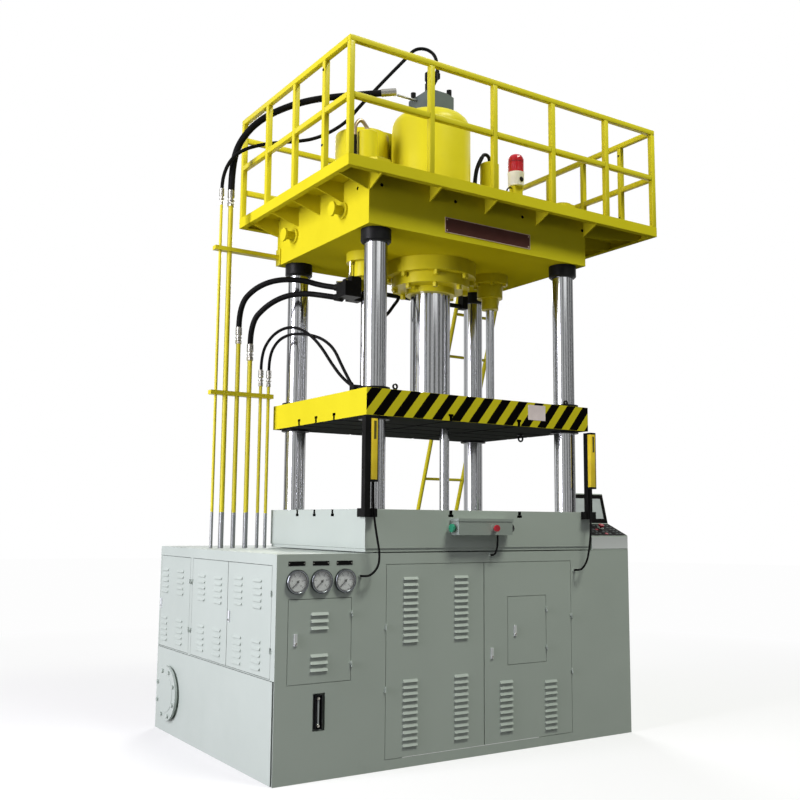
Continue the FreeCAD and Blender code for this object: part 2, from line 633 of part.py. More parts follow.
def make_slide():
    """The moving platen, its eight bushes, and the rods that stand on it."""
    plate = box("bed_left", "base_front", "slide_bottom", "bed_width", "bed_depth", "slide_thickness", "platen")
    port = fuse([box("press_offset - 837", "centre_y - 405", "slide_top - 1", "66", "50", "41", "port_block"),
                 stub("slide_hose_left", 13, 40), stub("slide_hose_right", 13, 40)])
    eyes = []
    for x in ("press_offset - 665", "press_offset + 685"):
        y, z = "base_front + 16", "slide_top + 20"
        ring = cut(fuse([rod(x, f"{y} - 5", z, "18", "10", "y", "eye"),
                         box(f"{x} - 7", f"{y} - 5", "slide_top - 1", "14", "10", "10", "eye_foot")]),
                   [rod(x, f"{y} - 6", z, "10", "12", "y", "eye_hole")])
        eyes += [ring, rod(x, y, "slide_top - 1", "13", "5", name="eye_collar")]
    cutters = slots("slide_bottom", 1) + column_bores("slide_bottom - 5", "bush_radius + 0.05",
                                                      "slide_thickness + 10")
    node("slide", cut(fuse([plate, port] + eyes), cutters))
    rings = []
    for x, y in column_spots():
        for flange, sleeve in (("slide_top", "slide_top - bush_length"),
                               ("slide_bottom - bush_flange_height", "slide_bottom - 1")):
            ring = fuse([rod(x, y, flange, "bush_flange", "bush_flange_height"),
                         rod(x, y, sleeve, "bush_radius", "bush_length + 1")])
            bore = rod(x, y, f"({flange}) - bush_length - 20", "column_radius + running_gap",
                       "2 * bush_length + 60")
            rings.append(cut(ring, [bore]))
    node("guide_rings", group(rings))
    parts = [rod("press_offset", "centre_y", "slide_top", "ram_radius", "ram_length", name="ram"),
             rod("press_offset", "centre_y - tell_rod_forward", "slide_bottom - tell_rod_length", "tell_rod",
                 "tell_rod_length", name="tell_rod")]
    for side in (-1, 1):
        x = f"press_offset + {side} * side_offset"
        parts.append(fuse([rod(x, "centre_y", "slide_top", "side_rod", "rod_length"),
                           rod(x, "centre_y", "slide_top + rod_length", "side_bore - running_gap",
                               "piston_height")]))
    node("rams", group(parts))


def tapping(x, y, z, axis):
    """A blind tapped hole in the crosshead's face."""
    return rod(x, y, z, "tapping_radius", "tapping_depth", axis, "tapping")


def make_crosshead():
    """The fixed head with its lifting spools and tapped holes."""
    block = box("bed_left", "base_front", "head_bottom", "bed_width", "bed_depth", "crosshead_height", "head")
    parts = [block]
    for along in ("lug_first", "lug_second"):
        y, z = f"base_front + {along}", "head_bottom + lug_level"
        parts += [rod("bed_left + 1", y, z, "lug_inner", "16", "-x", "lug_root"),
                  rod("bed_left + 1", y, z, "lug_shaft", "lug_length", "-x", "lug_shaft"),
                  rod("bed_left - lug_length + 15", y, z, "lug_outer", "15", "-x", "lug_rim")]
    holes = column_bores("head_bottom - 5", "column_radius + seat_gap", "crosshead_height + 10")
    holes.append(rod("press_offset", "centre_y", "head_bottom - 5", "cylinder_radius + seat_gap",
                     "crosshead_height + 10"))
    for side in (-1, 1):
        holes.append(rod(f"press_offset + {side} * side_offset", "centre_y", "head_bottom - 5",
                         "side_body + seat_gap", "crosshead_height + 10"))
    level = "head_top - tapping_drop"
    holes += [tapping("bed_left - 1", y, level, "x") for y in ("258", "-251", "-759")]
    holes += [tapping(x, "base_front - 1", level, "y") for x in ("-685", "-139", "407", "942")]
    node("crosshead", cut(fuse(parts), holes))


# ---------------------------------------------------------------- cylinders
def bolt_ring(count, radius, x, y, top, across, height, turn):
    """Hexagon heads hanging under a flange."""
    return [hexagon(bx, by, f"({top}) - ({height})", across, height, name="bolt_head")
            for bx, by in ring_spots(count, radius, x, y, turn)]


def make_main_cylinder():
    """The main cylinder with its rounded drum, and the stepped gland under the crosshead."""
    shoulder = []
    for k in range(6):
        angle = math.radians(18 * k)
        shoulder.append((f"drum_radius - drum_shoulder * {1 - math.cos(angle):.5f}",
                         f"crosshead_height + drum_height - drum_shoulder * {1 - math.sin(angle):.5f}"))
    outline = [("cylinder_bore", "0"), ("cylinder_radius", "0"), ("cylinder_radius", "crosshead_height"),
               ("drum_radius", "crosshead_height")] + shoulder
    outline += [("0", "crosshead_height + drum_height"), ("0", "crosshead_height + drum_bore_top"),
                ("cylinder_bore", "crosshead_height + drum_bore_top")]
    node("main_cylinder", put(turned(outline, "drum"), "press_offset", "centre_y", "head_bottom"))
    bore, drops = "ram_radius + running_gap", ("gland_one_height", "gland_one_height + gland_two_height")
    tiers = [(bore, "-gland_one_height - gland_two_height - gland_three_height"),
             ("gland_three", "-gland_one_height - gland_two_height - gland_three_height"),
             ("gland_three", f"-({drops[1]})"), ("gland_two", f"-({drops[1]})"),
             ("gland_two", "-gland_one_height"), ("gland_one", "-gland_one_height"),
             ("gland_one", "0"), (bore, "0")]
    parts = [put(turned(tiers, "gland"), "press_offset", "centre_y", "head_bottom")]
    for radius, drop in (("(gland_one + gland_two) / 2", drops[0]), ("gland_two - bolt_inset", drops[1])):
        parts += bolt_ring(8, radius, "press_offset", "centre_y", f"head_bottom - ({drop})",
                           "bolt_across", "bolt_head", 18)
    node("cylinder_gland", group(parts))


def make_side_cylinders():
    """The two return cylinders, left then right."""
    solids = []
    low = "-side_one_height - side_two_height - side_three_height"
    step = "-side_one_height - side_two_height"
    top = "crosshead_height + side_head_height"
    outline = [("side_rod + running_gap", low), ("side_three", low), ("side_three", step),
               ("side_two", step), ("side_two", "-side_one_height"), ("side_one", "-side_one_height"),
               ("side_one", "0"), ("side_body", "0"), ("side_body", f"{top} - 8"),
               ("side_body - 8", top), ("0", top), ("0", f"{top} - 40"), ("side_bore", f"{top} - 40"),
               ("side_bore", f"{step} + 10"), ("side_rod + running_gap", f"{step} + 10")]
    for side in (-1, 1):
        x = f"press_offset + {side} * side_offset"
        solids.append(put(turned(outline, "side_cylinder"), x, "centre_y", "head_bottom"))
        solids += bolt_ring(6, "(side_one + side_two) / 2", x, "centre_y",
                            "head_bottom - side_one_height", "side_bolt_across", "side_bolt_head", 0)
    for name, route, way in (("left_elbow", LEFT_ELBOW, "-"), ("right_elbow", RIGHT_ELBOW, "+")):
        solids.append(put(tube(name, route, 13), f"press_offset {way} side_offset", "centre_y", "side_top"))
    node("side_cylinders", group(solids))


def make_prefill():
    """The valve on the drum and the feed tank behind it."""
    half, bevel = "valve_width / 2", "valve_bevel"
    outline = [(f"-{half}", "0"), (half, "0"), (half, f"valve_height - {bevel} * 0.3"),
               (f"{half} - {bevel}", "valve_height"), (f"-{half} + {bevel}", "valve_height"),
               (f"-{half}", f"valve_height - {bevel} * 0.3")]
    body = outlined(outline, "XZ_Plane", "valve_width", "press_offset", "centre_y", "drum_top", "valve")
    parts = [body, rod("press_offset", "centre_y", "valve_top - 1", "valve_neck", "90", name="neck"),
             cone("press_offset", "centre_y", "valve_top + 85", "valve_neck", "valve_neck + 19", "40"),
             rod("press_offset", "centre_y", "valve_top + 124", "valve_neck + 19", "50", name="neck_cap")]
    for sx in (-1, 1):
        for sy in (-1, 1):
            parts.append(rod(f"press_offset + {sx} * ({half} - 22)", f"centre_y + {sy} * ({half} - 26)",
                             "drum_top + 100", "valve_bolt + 4", "valve_bolt_height + 50", name="cap_screw"))
    parts += [stub("prefill_hose", 27, 105), stub("pilot_hose", 15, 60),
              box("press_offset - 10", "centre_y - 14", "valve_top + 150", "78", "28", "40", "pilot_block"),
              rod("press_offset - 275", "centre_y + 8", "drum_top + 98", "9", f"280 - {half}", "x", "feed_pipe")]
    node("prefill_valve", fuse(parts))
    tank = box("press_offset - feed_tank_width / 2", "centre_y + 294", "head_top", "feed_tank_width",
               "feed_tank_depth", "feed_tank_height", "feed_tank_outer")
    inside = box("press_offset - feed_tank_width / 2 + 6", "centre_y + 300", "head_top + 6",
                 "feed_tank_width - 12", "feed_tank_depth - 12", "feed_tank_height - 12", "inside")
    filler = rod("press_offset - 200", "centre_y + 454", "head_top + feed_tank_height - 1", "45", "60")
    node("prefill_tank", fuse([cut(tank, [inside]), filler]))


# ---------------------------------------------------------------- platform, rail and ladder
def gusset(across, drop_top, way, along, span, along_y):
    """A tapered bracket under the deck: along is its place along the crosshead's face."""
    reach = f"({span}) - fascia_wall"
    outline = [("0", "-deck_plate"), ("0", "-gusset_drop"), (f"{way} * ({reach})", "-fascia_height"),
               (f"{way} * ({reach})", "-deck_plate")]
    plane = "XZ_Plane" if along_y else "YZ_Plane"
    x, y = (across, along) if along_y else (along, across)
    return outlined(outline, plane, "gusset_wall", x, y, drop_top, "gusset")


def make_platform():
    """Deck round the crosshead, fascia channel and brackets."""
    left, front = "deck_left_edge", "deck_front_edge"
    width, depth = "deck_right_edge - deck_left_edge", "deck_back_edge - deck_front_edge"
    plate = box(left, front, "head_top - deck_plate", width, depth, "deck_plate", "deck")
    solids = [plate]
    outer = box(left, front, "head_top - fascia_height", width, depth, "fascia_height - 1", "skirt")
    inner = box(f"{left} + fascia_wall", f"{front} + fascia_wall", "head_top - fascia_height + fascia_wall",
                f"{width} - 2 * fascia_wall", f"{depth} - 2 * fascia_wall", "fascia_height", "skirt_inside")
    under = box(f"{left} + fascia_lip", f"{front} + fascia_lip", "head_top - fascia_height - 5",
                f"{width} - 2 * fascia_lip", f"{depth} - 2 * fascia_lip", "fascia_height", "skirt_hole")
    solids.append(cut(outer, [inner, under]))
    for k in range(5):
        x = f"bed_left + gusset_wall + {k} * (bed_width - 2 * gusset_wall) / 4"
        solids.append(gusset("base_front", "head_top", -1, x, "deck_front", False))
        solids.append(gusset("bed_back", "head_top", 1, x, "deck_back", False))
        y = f"base_front + gusset_wall + {k} * (bed_depth - 2 * gusset_wall) / 4"
        solids.append(gusset("bed_left", "head_top", -1, y, "deck_left", True))
        solids.append(gusset("bed_right", "head_top", 1, y, "deck_right", True))
    hole = box("bed_left", "base_front", "head_top - deck_plate - 1", "bed_width", "bed_depth",
               "deck_plate + 2", "head_hole")
    risers = [rod(x, "riser_row", "head_top - 200", f"{radius} + 6", "260")
              for x, radius, top in RISERS.values() if top == "3480"]
    node("platform", cut(fuse(solids), [hole] + risers))


def make_guard_rail():
    """Square-tube rail round the deck, open where the ladder comes up."""
    tube, half = "rail_tube", "rail_tube / 2"
    left, right = f"deck_left_edge + {half}", f"deck_right_edge - {half}"
    front, back = f"deck_front_edge + {half}", f"deck_back_edge - {half}"
    top, mid = "head_top + rail_height - rail_tube", "head_top + rail_mid - rail_tube"
    low_top, low_mid = "head_top + back_rail_top - rail_tube", "head_top + back_rail_mid - rail_tube"
    solids = []
    fronts = [left] + [f"{left} + front_post_first + {k} * front_post_pitch" for k in range(4)] + [right]
    sides = [front] + [f"{back} - {k} * side_post_pitch" for k in (3, 2, 1, 0)]

    def post(x, y, height="rail_height - rail_tube"):
        solids.append(box(f"({x}) - {half}", f"({y}) - {half}", "head_top", tube, tube, height, "post"))

    def bars(places, fixed, levels, along_x):
        for first, last in zip(places, places[1:]):
            start, span = f"({first}) + {half}", f"({last}) - ({first}) - rail_tube"
            for level in levels:
                if along_x:
                    solids.append(box(start, f"({fixed}) - {half}", level, span, tube, tube, "bar"))
                else:
                    solids.append(box(f"({fixed}) - {half}", start, level, tube, span, tube, "bar"))

    for x in fronts:
        post(x, front)
    for x in (left, right):
        for y in sides[1:]:
            post(x, y)
    backs = [left, "press_offset - 430", "press_offset + 430", "ladder_left - 55"]
    beyond = ["ladder_left + ladder_width + 55", right]
    for x in backs[1:] + beyond[:1]:
        post(x, back, "back_rail_top")
    solids.append(box(f"({left}) - {half}", f"({front}) - {half}", top,
                      f"({right}) - ({left}) + rail_tube", tube, tube, "top_bar"))
    for x in (left, right):
        solids.append(box(f"({x}) - {half}", f"({front}) + {half}", top, tube,
                          f"({back}) - ({front})", tube, "top_bar"))
    bars(fronts, front, [mid], True)
    for x in (left, right):
        bars(sides, x, [mid], False)
    bars(backs, back, [low_top, low_mid], True)
    bars(beyond, back, [low_top, low_mid], True)
    node("guard_rail", group(solids))


def make_ladder():
    """A leaning ladder from the floor to the back of the deck."""
    rails = []
    for x in ("ladder_left", "ladder_left + ladder_width"):
        rail = rod(x, "ladder_back + ladder_lean * ladder_top", 0, "ladder_tube", "100", name="ladder_rail")
        rail.Placement = Placement(Vector(), Rotation(Vector(1, 0, 0), 18))
        put(rail, x, "ladder_back + ladder_lean * (ladder_top - 12)", 12)
        rail.setExpression("Placement.Rotation.Angle", spell("atan(ladder_lean)"))
        bind(rail, Height="(ladder_top - 12) / cos(atan(ladder_lean))")
        rails.append(rail)
    rungs = [rod("ladder_left", f"ladder_back + ladder_lean * (rung_drop + {k} * rung_pitch)",
                 f"ladder_top - rung_drop - {k} * rung_pitch", "rung_tube", "ladder_width", "x", "rung")
             for k in range(10)]
    feet, hooks = [], []
    for x in ("ladder_left", "ladder_left + ladder_width"):
        hooks.append(box(f"{x} - 5", "deck_back_edge", "ladder_top - 44", "10", "44", "40", "hook"))
        feet.append(rod(x, "ladder_back + ladder_lean * ladder_top", 0, "ladder_foot", "14", name="ladder_foot"))
    stiles = [cut(rail, [foot]) for rail, foot in zip(rails, feet)]
    crossing = cut(group(rungs + hooks), rails)
    node("ladder", group(stiles + feet + [crossing]))


def make_beacon():
    """The warning lamp on its stand."""
    x, y = "beacon_offset_x", "beacon_offset_y"
    stand = box(f"{x} - 37", f"{y} - 30", "head_top", "74", "60", "beacon_stand", "stand")
    foot = cone(x, y, "head_top + beacon_stand", "beacon_radius - 4", "beacon_radius - 1", "beacon_base_height - 6")
    rim = rod(x, y, "head_top + beacon_stand + beacon_base_height - 7", "beacon_radius", "7")
    node("beacon_base", fuse([stand, foot, rim]))
    low = "head_top + beacon_stand + beacon_base_height"
    dome = [rod(x, y, low, "beacon_radius - 3", "beacon_dome_height - 16"),
            cone(x, y, f"{low} + beacon_dome_height - 16", "beacon_radius - 3", "beacon_radius - 19", "16")]
    node("beacon_dome", fuse(dome))


# ---------------------------------------------------------------- pipes and cords
def spliced(points):
    """Straight runs joined by tangent arcs: (edges, length, tightest radius)."""
    corners = [Vector(*point) for point in points]
    edges, length, tightest, start = [], 0.0, 1e9, corners[0]
    for before, corner, after in zip(corners, corners[1:], corners[2:]):
        ahead, onward = (corner - before).normalize(), (after - corner).normalize()
        turn = math.acos(max(-1.0, min(1.0, ahead.dot(onward))))
        trim = 0.45 * min((corner - before).Length, (after - corner).Length)
        radius = trim / math.tan(turn / 2)
        middle = corner + (onward - ahead).normalize() * (radius / math.cos(turn / 2) - radius)
        arc_start, arc_end = corner - ahead * trim, corner + onward * trim
        edges.append(Part.LineSegment(start, arc_start).toShape())
        edges.append(Part.Arc(arc_start, middle, arc_end).toShape())
        length += (arc_start - start).Length + radius * turn
        tightest = min(tightest, radius)
        start = arc_end
    edges.append(Part.LineSegment(start, corners[-1]).toShape())
    length += (corners[-1] - start).Length
    return edges, length, tightest


def tube(name, points, radius, sides=0):
    """A tube swept along its route, round or with a few flat sides."""
    edges, length, tightest = spliced(points)
    start, ahead = Vector(*points[0]), (Vector(*points[1]) - Vector(*points[0])).normalize()
    section = math.pi * radius ** 2
    if sides:
        flat = Placement(start, Rotation(Vector(0, 0, 1), ahead))
        step = 2 * math.pi / sides
        corners = [flat.multVec(Vector(radius * math.cos(step * k), radius * math.sin(step * k), 0))
                   for k in range(sides)]
        ring = Part.makePolygon(corners + corners[:1])
        section = sides / 2 * math.sin(step) * radius ** 2
    else:
        ring = Part.Wire(Part.makeCircle(radius, start, ahead))
    solid = Part.Wire(edges).makePipeShell([ring], True, False)
    feature = doc.addObject("Part::Feature", name)
    feature.Shape = solid
    print(f"{name}: length {length:.0f}, tightest {tightest:.0f} ({tightest / radius / 2:.1f} dia), "
          f"volume {solid.Volume / section / length:.3f}")
    return feature


HOSE_SIDES = 8
ROUTES = {
    # name: (radius, points); the first point is at a fitting
    "prefill_hose": (23, [(-1140, 300, 3592), (-1140, 300, 3770), (-1098, 275, 3951), (-974, 202, 4115),
                          (-753, 71, 4235), (-517, -68, 4285), (-270, -206, 4316)]),
    "pilot_hose": (12, [(-1207, 300, 3592), (-1207, 300, 3705), (-1135, 232, 3850), (-950, 165, 3925),
                       (-780, 115, 3955), (-619, 49, 3995), (-449, -24, 4115), (-354, -64, 4254),
                       (-245, -111, 4396), (-150, -154, 4518), (-52, -198, 4640), (2, -221, 4712),
                       (88, -257, 4718), (150, -284, 4655), (150, -284, 4560)]),
    "return_hose": (19, [(-1056, 300, 2661), (-1056, 300, 2815), (-985, 212, 2925), (-880, 105, 2975),
                         (-740, 0, 2970), (-630, -66, 2932), (-590, -178, 2905)]),
    "pressure_hose": (19, [(-970, 300, 2555), (-970, 300, 2705), (-905, 205, 2810), (-825, 105, 2868),
                           (-725, 15, 2885), (-628, -68, 2868), (-590, -178, 2838)]),
    "slide_hose_left": (10, [(-886, 300, 2388), (-886, 300, 2500), (-870, 200, 2600), (-840, 70, 2645),
                            (-813, -70, 2630), (-790, -200, 2570), (-768, -320, 2475), (-742, -425, 2345),
                            (-716, -525, 2240), (-694, -620, 2181)]),
    "slide_hose_right": (10, [(-828, 300, 2388), (-828, 300, 2490), (-818, 205, 2578), (-802, 75, 2604),
                             (-785, -65, 2592), (-768, -200, 2562), (-752, -325, 2518), (-737, -440, 2442),
                             (-727, -525, 2318), (-716, -615, 2207)]),
    "left_head_hose": (14, [(-519, -284, 3931), (-519, -284, 3825), (-516, -290, 3715), (-520, -295, 3600),
                            (-520, -295, 3465)]),
    "right_head_hose": (15, [(548, -284, 4005), (507, -284, 3939), (482, -286, 3825), (477, -290, 3710),
                             (480, -295, 3595), (480, -295, 3465)]),
    "left_curtain_cable": (6.5, [(-758, -955, 1602), (-758, -955, 1495), (-748, -955, 1385),
                               (-730, -958, 1285), (-710, -955, 1200), (-720, -958, 1125),
                               (-765, -952, 1080), (-800, -942, 1075), (-800, -900, 1075)]),
    "right_curtain_cable": (6.5, [(925, -955, 1602), (925, -955, 1500), (919, -955, 1395), (914, -958, 1295),
                                (902, -955, 1205), (880, -958, 1135), (848, -950, 1088),
                                (822, -942, 1076), (822, -900, 1076)]),
    "control_cable": (6, [(154, -936, 1303), (154, -936, 1262), (148, -938, 1222), (132, -935, 1180),
                          (132, -900, 1180)]),
    "beacon_cable": (5, [(548, -620, 3680), (510, -620, 3680), (474, -648, 3615), (450, -675, 3540),
                         (446, -690, 3466)]),
}


# pipes bent in steel, from an anchor of their own
CROSS_PIPE = [(-612, 50, -257), (-612, 174, -247), (-507, 289, -172), (-337, 302, -162), (483, 300, -165)]
LEFT_ELBOW = [(0, 0, 0), (0, 0, 30), (-51, 0, 86), (-96, 0, 35), (-96, 0, -39)]
RIGHT_ELBOW = [(0, 0, 0), (0, 0, 46), (-23, 0, 66), (-52.6, 0, 61.4), (-69, 0, 35)]
# where a fitting stands, from the piece that it screws into
FITTINGS = {
    "prefill_hose": ("press_offset - 367", "centre_y + 78", "drum_top + 116"),
    "pilot_hose": ("press_offset + 53", "centre_y", "valve_top + 210"),
    "return_hose": ("press_offset - 687", "centre_y + 106", "head_bottom - 222"),
    "pressure_hose": ("press_offset - 687", "centre_y + 106", "head_bottom - 289"),
    "slide_hose_left": ("press_offset - 791", "centre_y - 336", "slide_top + 31"),
    "slide_hose_right": ("press_offset - 813", "centre_y - 331", "slide_top + 57"),
}


def stub(name, radius, length):
    """A fitting in line with the end of a hose, reaching on into what it feeds."""
    before, end = ROUTES[name][1][-2:]
    ahead = (Vector(*end) - Vector(*before)).normalize()
    fitting = bind(doc.addObject("Part::Cylinder", "fitting"), Radius=radius, Height=length)
    fitting.Placement = Placement(Vector(), Rotation(Vector(0, 0, 1), ahead))
    return put(fitting, *FITTINGS[name])


def hose(name):
    """A hose or cable along its own route."""
    radius, points = ROUTES[name]
    return tube(name, points, radius, HOSE_SIDES)


def make_cords():
    """Hoses and cables, each along its own route."""
    for name in ("prefill_hose", "pilot_hose", "return_hose", "pressure_hose"):
        node(name, hose(name))
    for label, names in (("slide_hoses", ("slide_hose_left", "slide_hose_right")),
                         ("side_cylinder_hoses", ("left_head_hose", "right_head_hose")),
                         ("curtain_cables", ("left_curtain_cable", "right_curtain_cable")),
                         ("small_cables", ("control_cable", "beacon_cable"))):
        node(label, group([hose(name) for name in names]))


def make_risers():
    """Steel risers from the manifold, their fittings and the two clamps that hold them."""
    pipes, fittings = [], []
    for x, radius, top in RISERS.values():
        pipes.append(rod(x, "riser_row", "riser_foot", radius, f"{top} - riser_foot", name="riser"))
        parts = [hexagon(x, "riser_row", top, f"3 * {radius}", "24", name="union"),
                 rod(x, "riser_row", f"{top} + 23", f"{radius} + 1", "60"),
                 rod(x, "riser_row", f"{top} + 60", f"{radius} + 7", "52")]
        fittings.append(fuse(parts))
    node("riser_pipes", group(pipes))
    node("hose_fittings", group(fittings))
    half = "clamp_width / 2"
    upper = [box("clamp_end", f"riser_row - {half}", "upper_clamp_level - clamp_height / 2",
                 "bed_left - clamp_end - 8", "clamp_width", "clamp_height", "upper_bar"),
             box("bed_left - 10", "bed_back - 60", "upper_clamp_level - 53", "10", "60", "112", "clamp_plate")]
    lower = [box("clamp_end", f"riser_row - {half}", "lower_clamp_level - clamp_height / 2",
                 "450", "clamp_width", "clamp_height", "lower_bar")]
    holes = []
    for x, radius, top in RISERS.values():
        if top == "3480":
            holes.append(rod(x, "riser_row", "upper_clamp_level - 30", f"{radius} + seat_gap / 10", "60"))
        holes.append(rod(x, "riser_row", "lower_clamp_level - 30", f"{radius} + seat_gap / 10", "60"))
    node("pipe_clamps", group([cut(fuse(upper), holes), cut(lower[0], holes)]))
    block = [box("press_offset - 706", "centre_y - 60", "head_bottom - 307", "119", "120", "99", "junction"),
             box("press_offset - 660", "centre_y - 60", "head_bottom - 307", "73", "120", "132", "junction"),
             box("press_offset - 600", "centre_y + 60", "head_bottom - 303", "92", "64", "46", "junction_arm"),
             box("press_offset - 532", "centre_y + 94", "head_bottom - 303", "24", "30", "303 - side_one_height",
                 "junction_leg"),
             stub("return_hose", 23, 60), stub("pressure_hose", 23, 60),
             put(tube("cross_pipe", CROSS_PIPE, 16), "press_offset", "centre_y", "head_bottom"),
             box("press_offset + 478", "centre_y + 265", "head_bottom - 187", "46", "60", "187", "right_block")]
    node("junction_block", fuse(block))


# ---------------------------------------------------------------- instruments and controls
def make_gauges():
    """Three dial gauges in the front panel."""
    cases, glasses = [], []
    for k in range(3):
        x, z = f"gauge_first + {k} * gauge_pitch", "gauge_level"
        rim_y = "base_front - gauge_rim"
        rim = fuse([rod(x, rim_y, z, "gauge_radius", "gauge_rim", "y", "rim"),
                    rod(x, "base_front - 1", z, "gauge_body", "gauge_depth", "y", "body")])
        hollow = rod(x, f"{rim_y} - 1", z, "gauge_dial", "gauge_rim - 4", "y", "dial_space")
        cases.append(fuse([cut(rim, [hollow]), rod(x, f"{rim_y} + 8", z, "5", "10", "y", "arbor")]))
        glasses.append(rod(x, f"{rim_y} + 1", z, "gauge_dial - 0.1", "2", "y", "glass"))
        needle = fuse([rod(0, 0, 0, "7", "1.2", "y", "hub"), box("-2", 0, "-12", "4", "1.2", "58", "pointer")])
        needle.Placement = Placement(Vector(), Rotation(Vector(0, 1, 0), -135))
        node(f"gauge_needle_{k + 1}", put(needle, x, f"{rim_y} + 6.7", z))
    node("gauge_cases", group(cases))
    node("gauge_glasses", group(glasses))


def make_control_box():
    """The two-hand control on the bed's front, with its three buttons."""
    x, y, z = "press_offset - 267", "base_front - 80", "control_level"
    shell = [box(x, y, z, "control_width", "80", "control_height", "control_case"),
             box(f"{x} - 6", f"{y} - 3", f"{z} + control_height - 1", "control_width + 12", "83", "17", "lid")]
    middle_z = f"{z} + control_height / 2"
    stop_x = "press_offset - 2"
    collars = [rod(stop_x, f"{y} - 4", middle_z, "24", "6", "y", "stop_collar"),
               rod(f"{x} - 5", f"{y} + 40", middle_z, "26", "7", "x", "left_collar"),
               rod(f"{x} + control_width - 2", f"{y} + 40", middle_z, "26", "7", "x", "right_collar")]
    bores = [rod(stop_x, f"{y} - 10", middle_z, "8 + running_gap", "40", "y", "stop_bore"),
             rod(f"{x} - 10", f"{y} + 40", middle_z, "8 + running_gap", "45", "x", "left_bore"),
             rod(f"{x} + control_width + 10", f"{y} + 40", middle_z, "8 + running_gap", "45", "-x", "right_bore")]
    node("control_box", cut(fuse(shell + collars), bores))
    stop = [rod(stop_x, f"{y} - 36", middle_z, "20", "12", "y", "stop_head"),
            cone(stop_x, f"{y} - 24", middle_z, "20", "14", "10", "y"),
            rod(stop_x, f"{y} - 15", middle_z, "8", "33", "y", "stop_stem")]
    node("control_stop_button", fuse(stop))
    left = [rod(f"{x} - 29", f"{y} + 40", middle_z, "25", "14", "x", "palm_head"),
            rod(f"{x} - 16", f"{y} + 40", middle_z, "8", "36", "x", "palm_stem")]
    node("left_palm_button", fuse(left))
    right = [rod(f"{x} + control_width + 29", f"{y} + 40", middle_z, "25", "14", "-x", "palm_head"),
             rod(f"{x} + control_width + 16", f"{y} + 40", middle_z, "8", "36", "-x", "palm_stem")]
    node("right_palm_button", fuse(right))


def make_curtains():
    """Two light curtains on posts clamped to the bed's front corners."""
    node("light_curtains", group([box(x, "base_front - 80", "curtain_level", "curtain_width", "curtain_depth",
                                      "curtain_height", "curtain") for x in ("curtain_left", "curtain_right")]))
    posts = []
    for post_x, post_y, cheek_x, arm_x, arm_length in (
            ("curtain_left - curtain_post", "base_front - 80", "bed_left - 20", "curtain_left - curtain_post",
             "curtain_post + curtain_overhang + 55"),
            ("curtain_right + 6", "base_front - 80 + curtain_depth", "bed_right", "bed_right - 75", "95")):
        posts.append(fuse([
            box(post_x, post_y, "curtain_clamp", "curtain_post", "curtain_post",
                "curtain_level + curtain_height - curtain_clamp", "curtain_post"),
            box(arm_x, "base_front - 42", "curtain_clamp", arm_length, "42", "49", "clamp_arm"),
            box(cheek_x, "base_front - 1", "curtain_clamp", "20", "60", "49", "clamp_cheek")]))
    node("curtain_posts", group(posts))


def make_console():
    """The operator's desk on the cabinet's right front corner, and its stop button."""
    outline = [("0", "0"), ("console_back", "0"), ("console_back", "330"), ("285", "384"), ("235", "384"),
               ("182", "174"), ("0", "console_front")]
    body = outlined(outline, "YZ_Plane", "console_width", "console_left + console_width / 2",
                    "base_front", "base_height", "desk")
    slope = math.degrees(math.atan2(174 - 95, 182))
    x, y, z = "console_left + console_width - 137", "base_front + 118", "base_height + 95 + 118 * 79 / 182"
    lift = Rotation(Vector(1, 0, 0), slope)

    def standing(radius, height, start):
        part = bind(doc.addObject("Part::Cylinder", "stop"), Radius=radius, Height=height)
        part.Placement = Placement(lift.multVec(Vector(0, 0, start)), lift)
        place = doc.addObject("Part::Compound", "stop_place")
        place.Links = [part]
        return put(place, x, y, z)

    node("console", cut(fuse([body, standing("22", "6", -2)]), [standing("8 + running_gap", "40", -30)]))
    node("console_stop_button", fuse([standing("8", "35", -20), standing("19", "12", 14)]))


# ---------------------------------------------------------------- the whole press
def check_and_write():
    """Every object must have computed and every node must be whole before it is written."""
    doc.recompute()
    bad = [thing.Label for thing in doc.Objects if "Invalid" in thing.State or "Error" in thing.State]
    for thing in NODES:
        if thing.Shape.isNull() or not thing.Shape.isValid() or not thing.Shape.Solids:
            bad.append(thing.Label)
    if bad:
        raise RuntimeError(f"not computed: {sorted(set(bad))}")
    os.makedirs("parts", exist_ok=True)
    for thing in NODES:
        thing.Shape.exportStep(f"parts/{thing.Label}.step")
    print(f"{len(NODES)} parts, {sum(len(thing.Shape.Solids) for thing in NODES)} solids")


make_cabinet()
make_doors()
make_tank()
make_power_unit()
make_bed()
make_columns()
make_slide()
make_crosshead()
make_main_cylinder()
make_side_cylinders()
make_prefill()
make_platform()
make_guard_rail()
make_ladder()
make_beacon()
make_risers()
make_cords()
make_gauges()
make_control_box()
make_curtains()
make_console()
check_and_write()
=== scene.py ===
"""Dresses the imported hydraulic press: paint, plating, hoses, dials, plates, light and camera."""

import json
import logging
import math
from dataclasses import dataclass
from enum import Enum
from typing import Any, Sequence

import bmesh
import bpy
from mathutils import Matrix, Vector

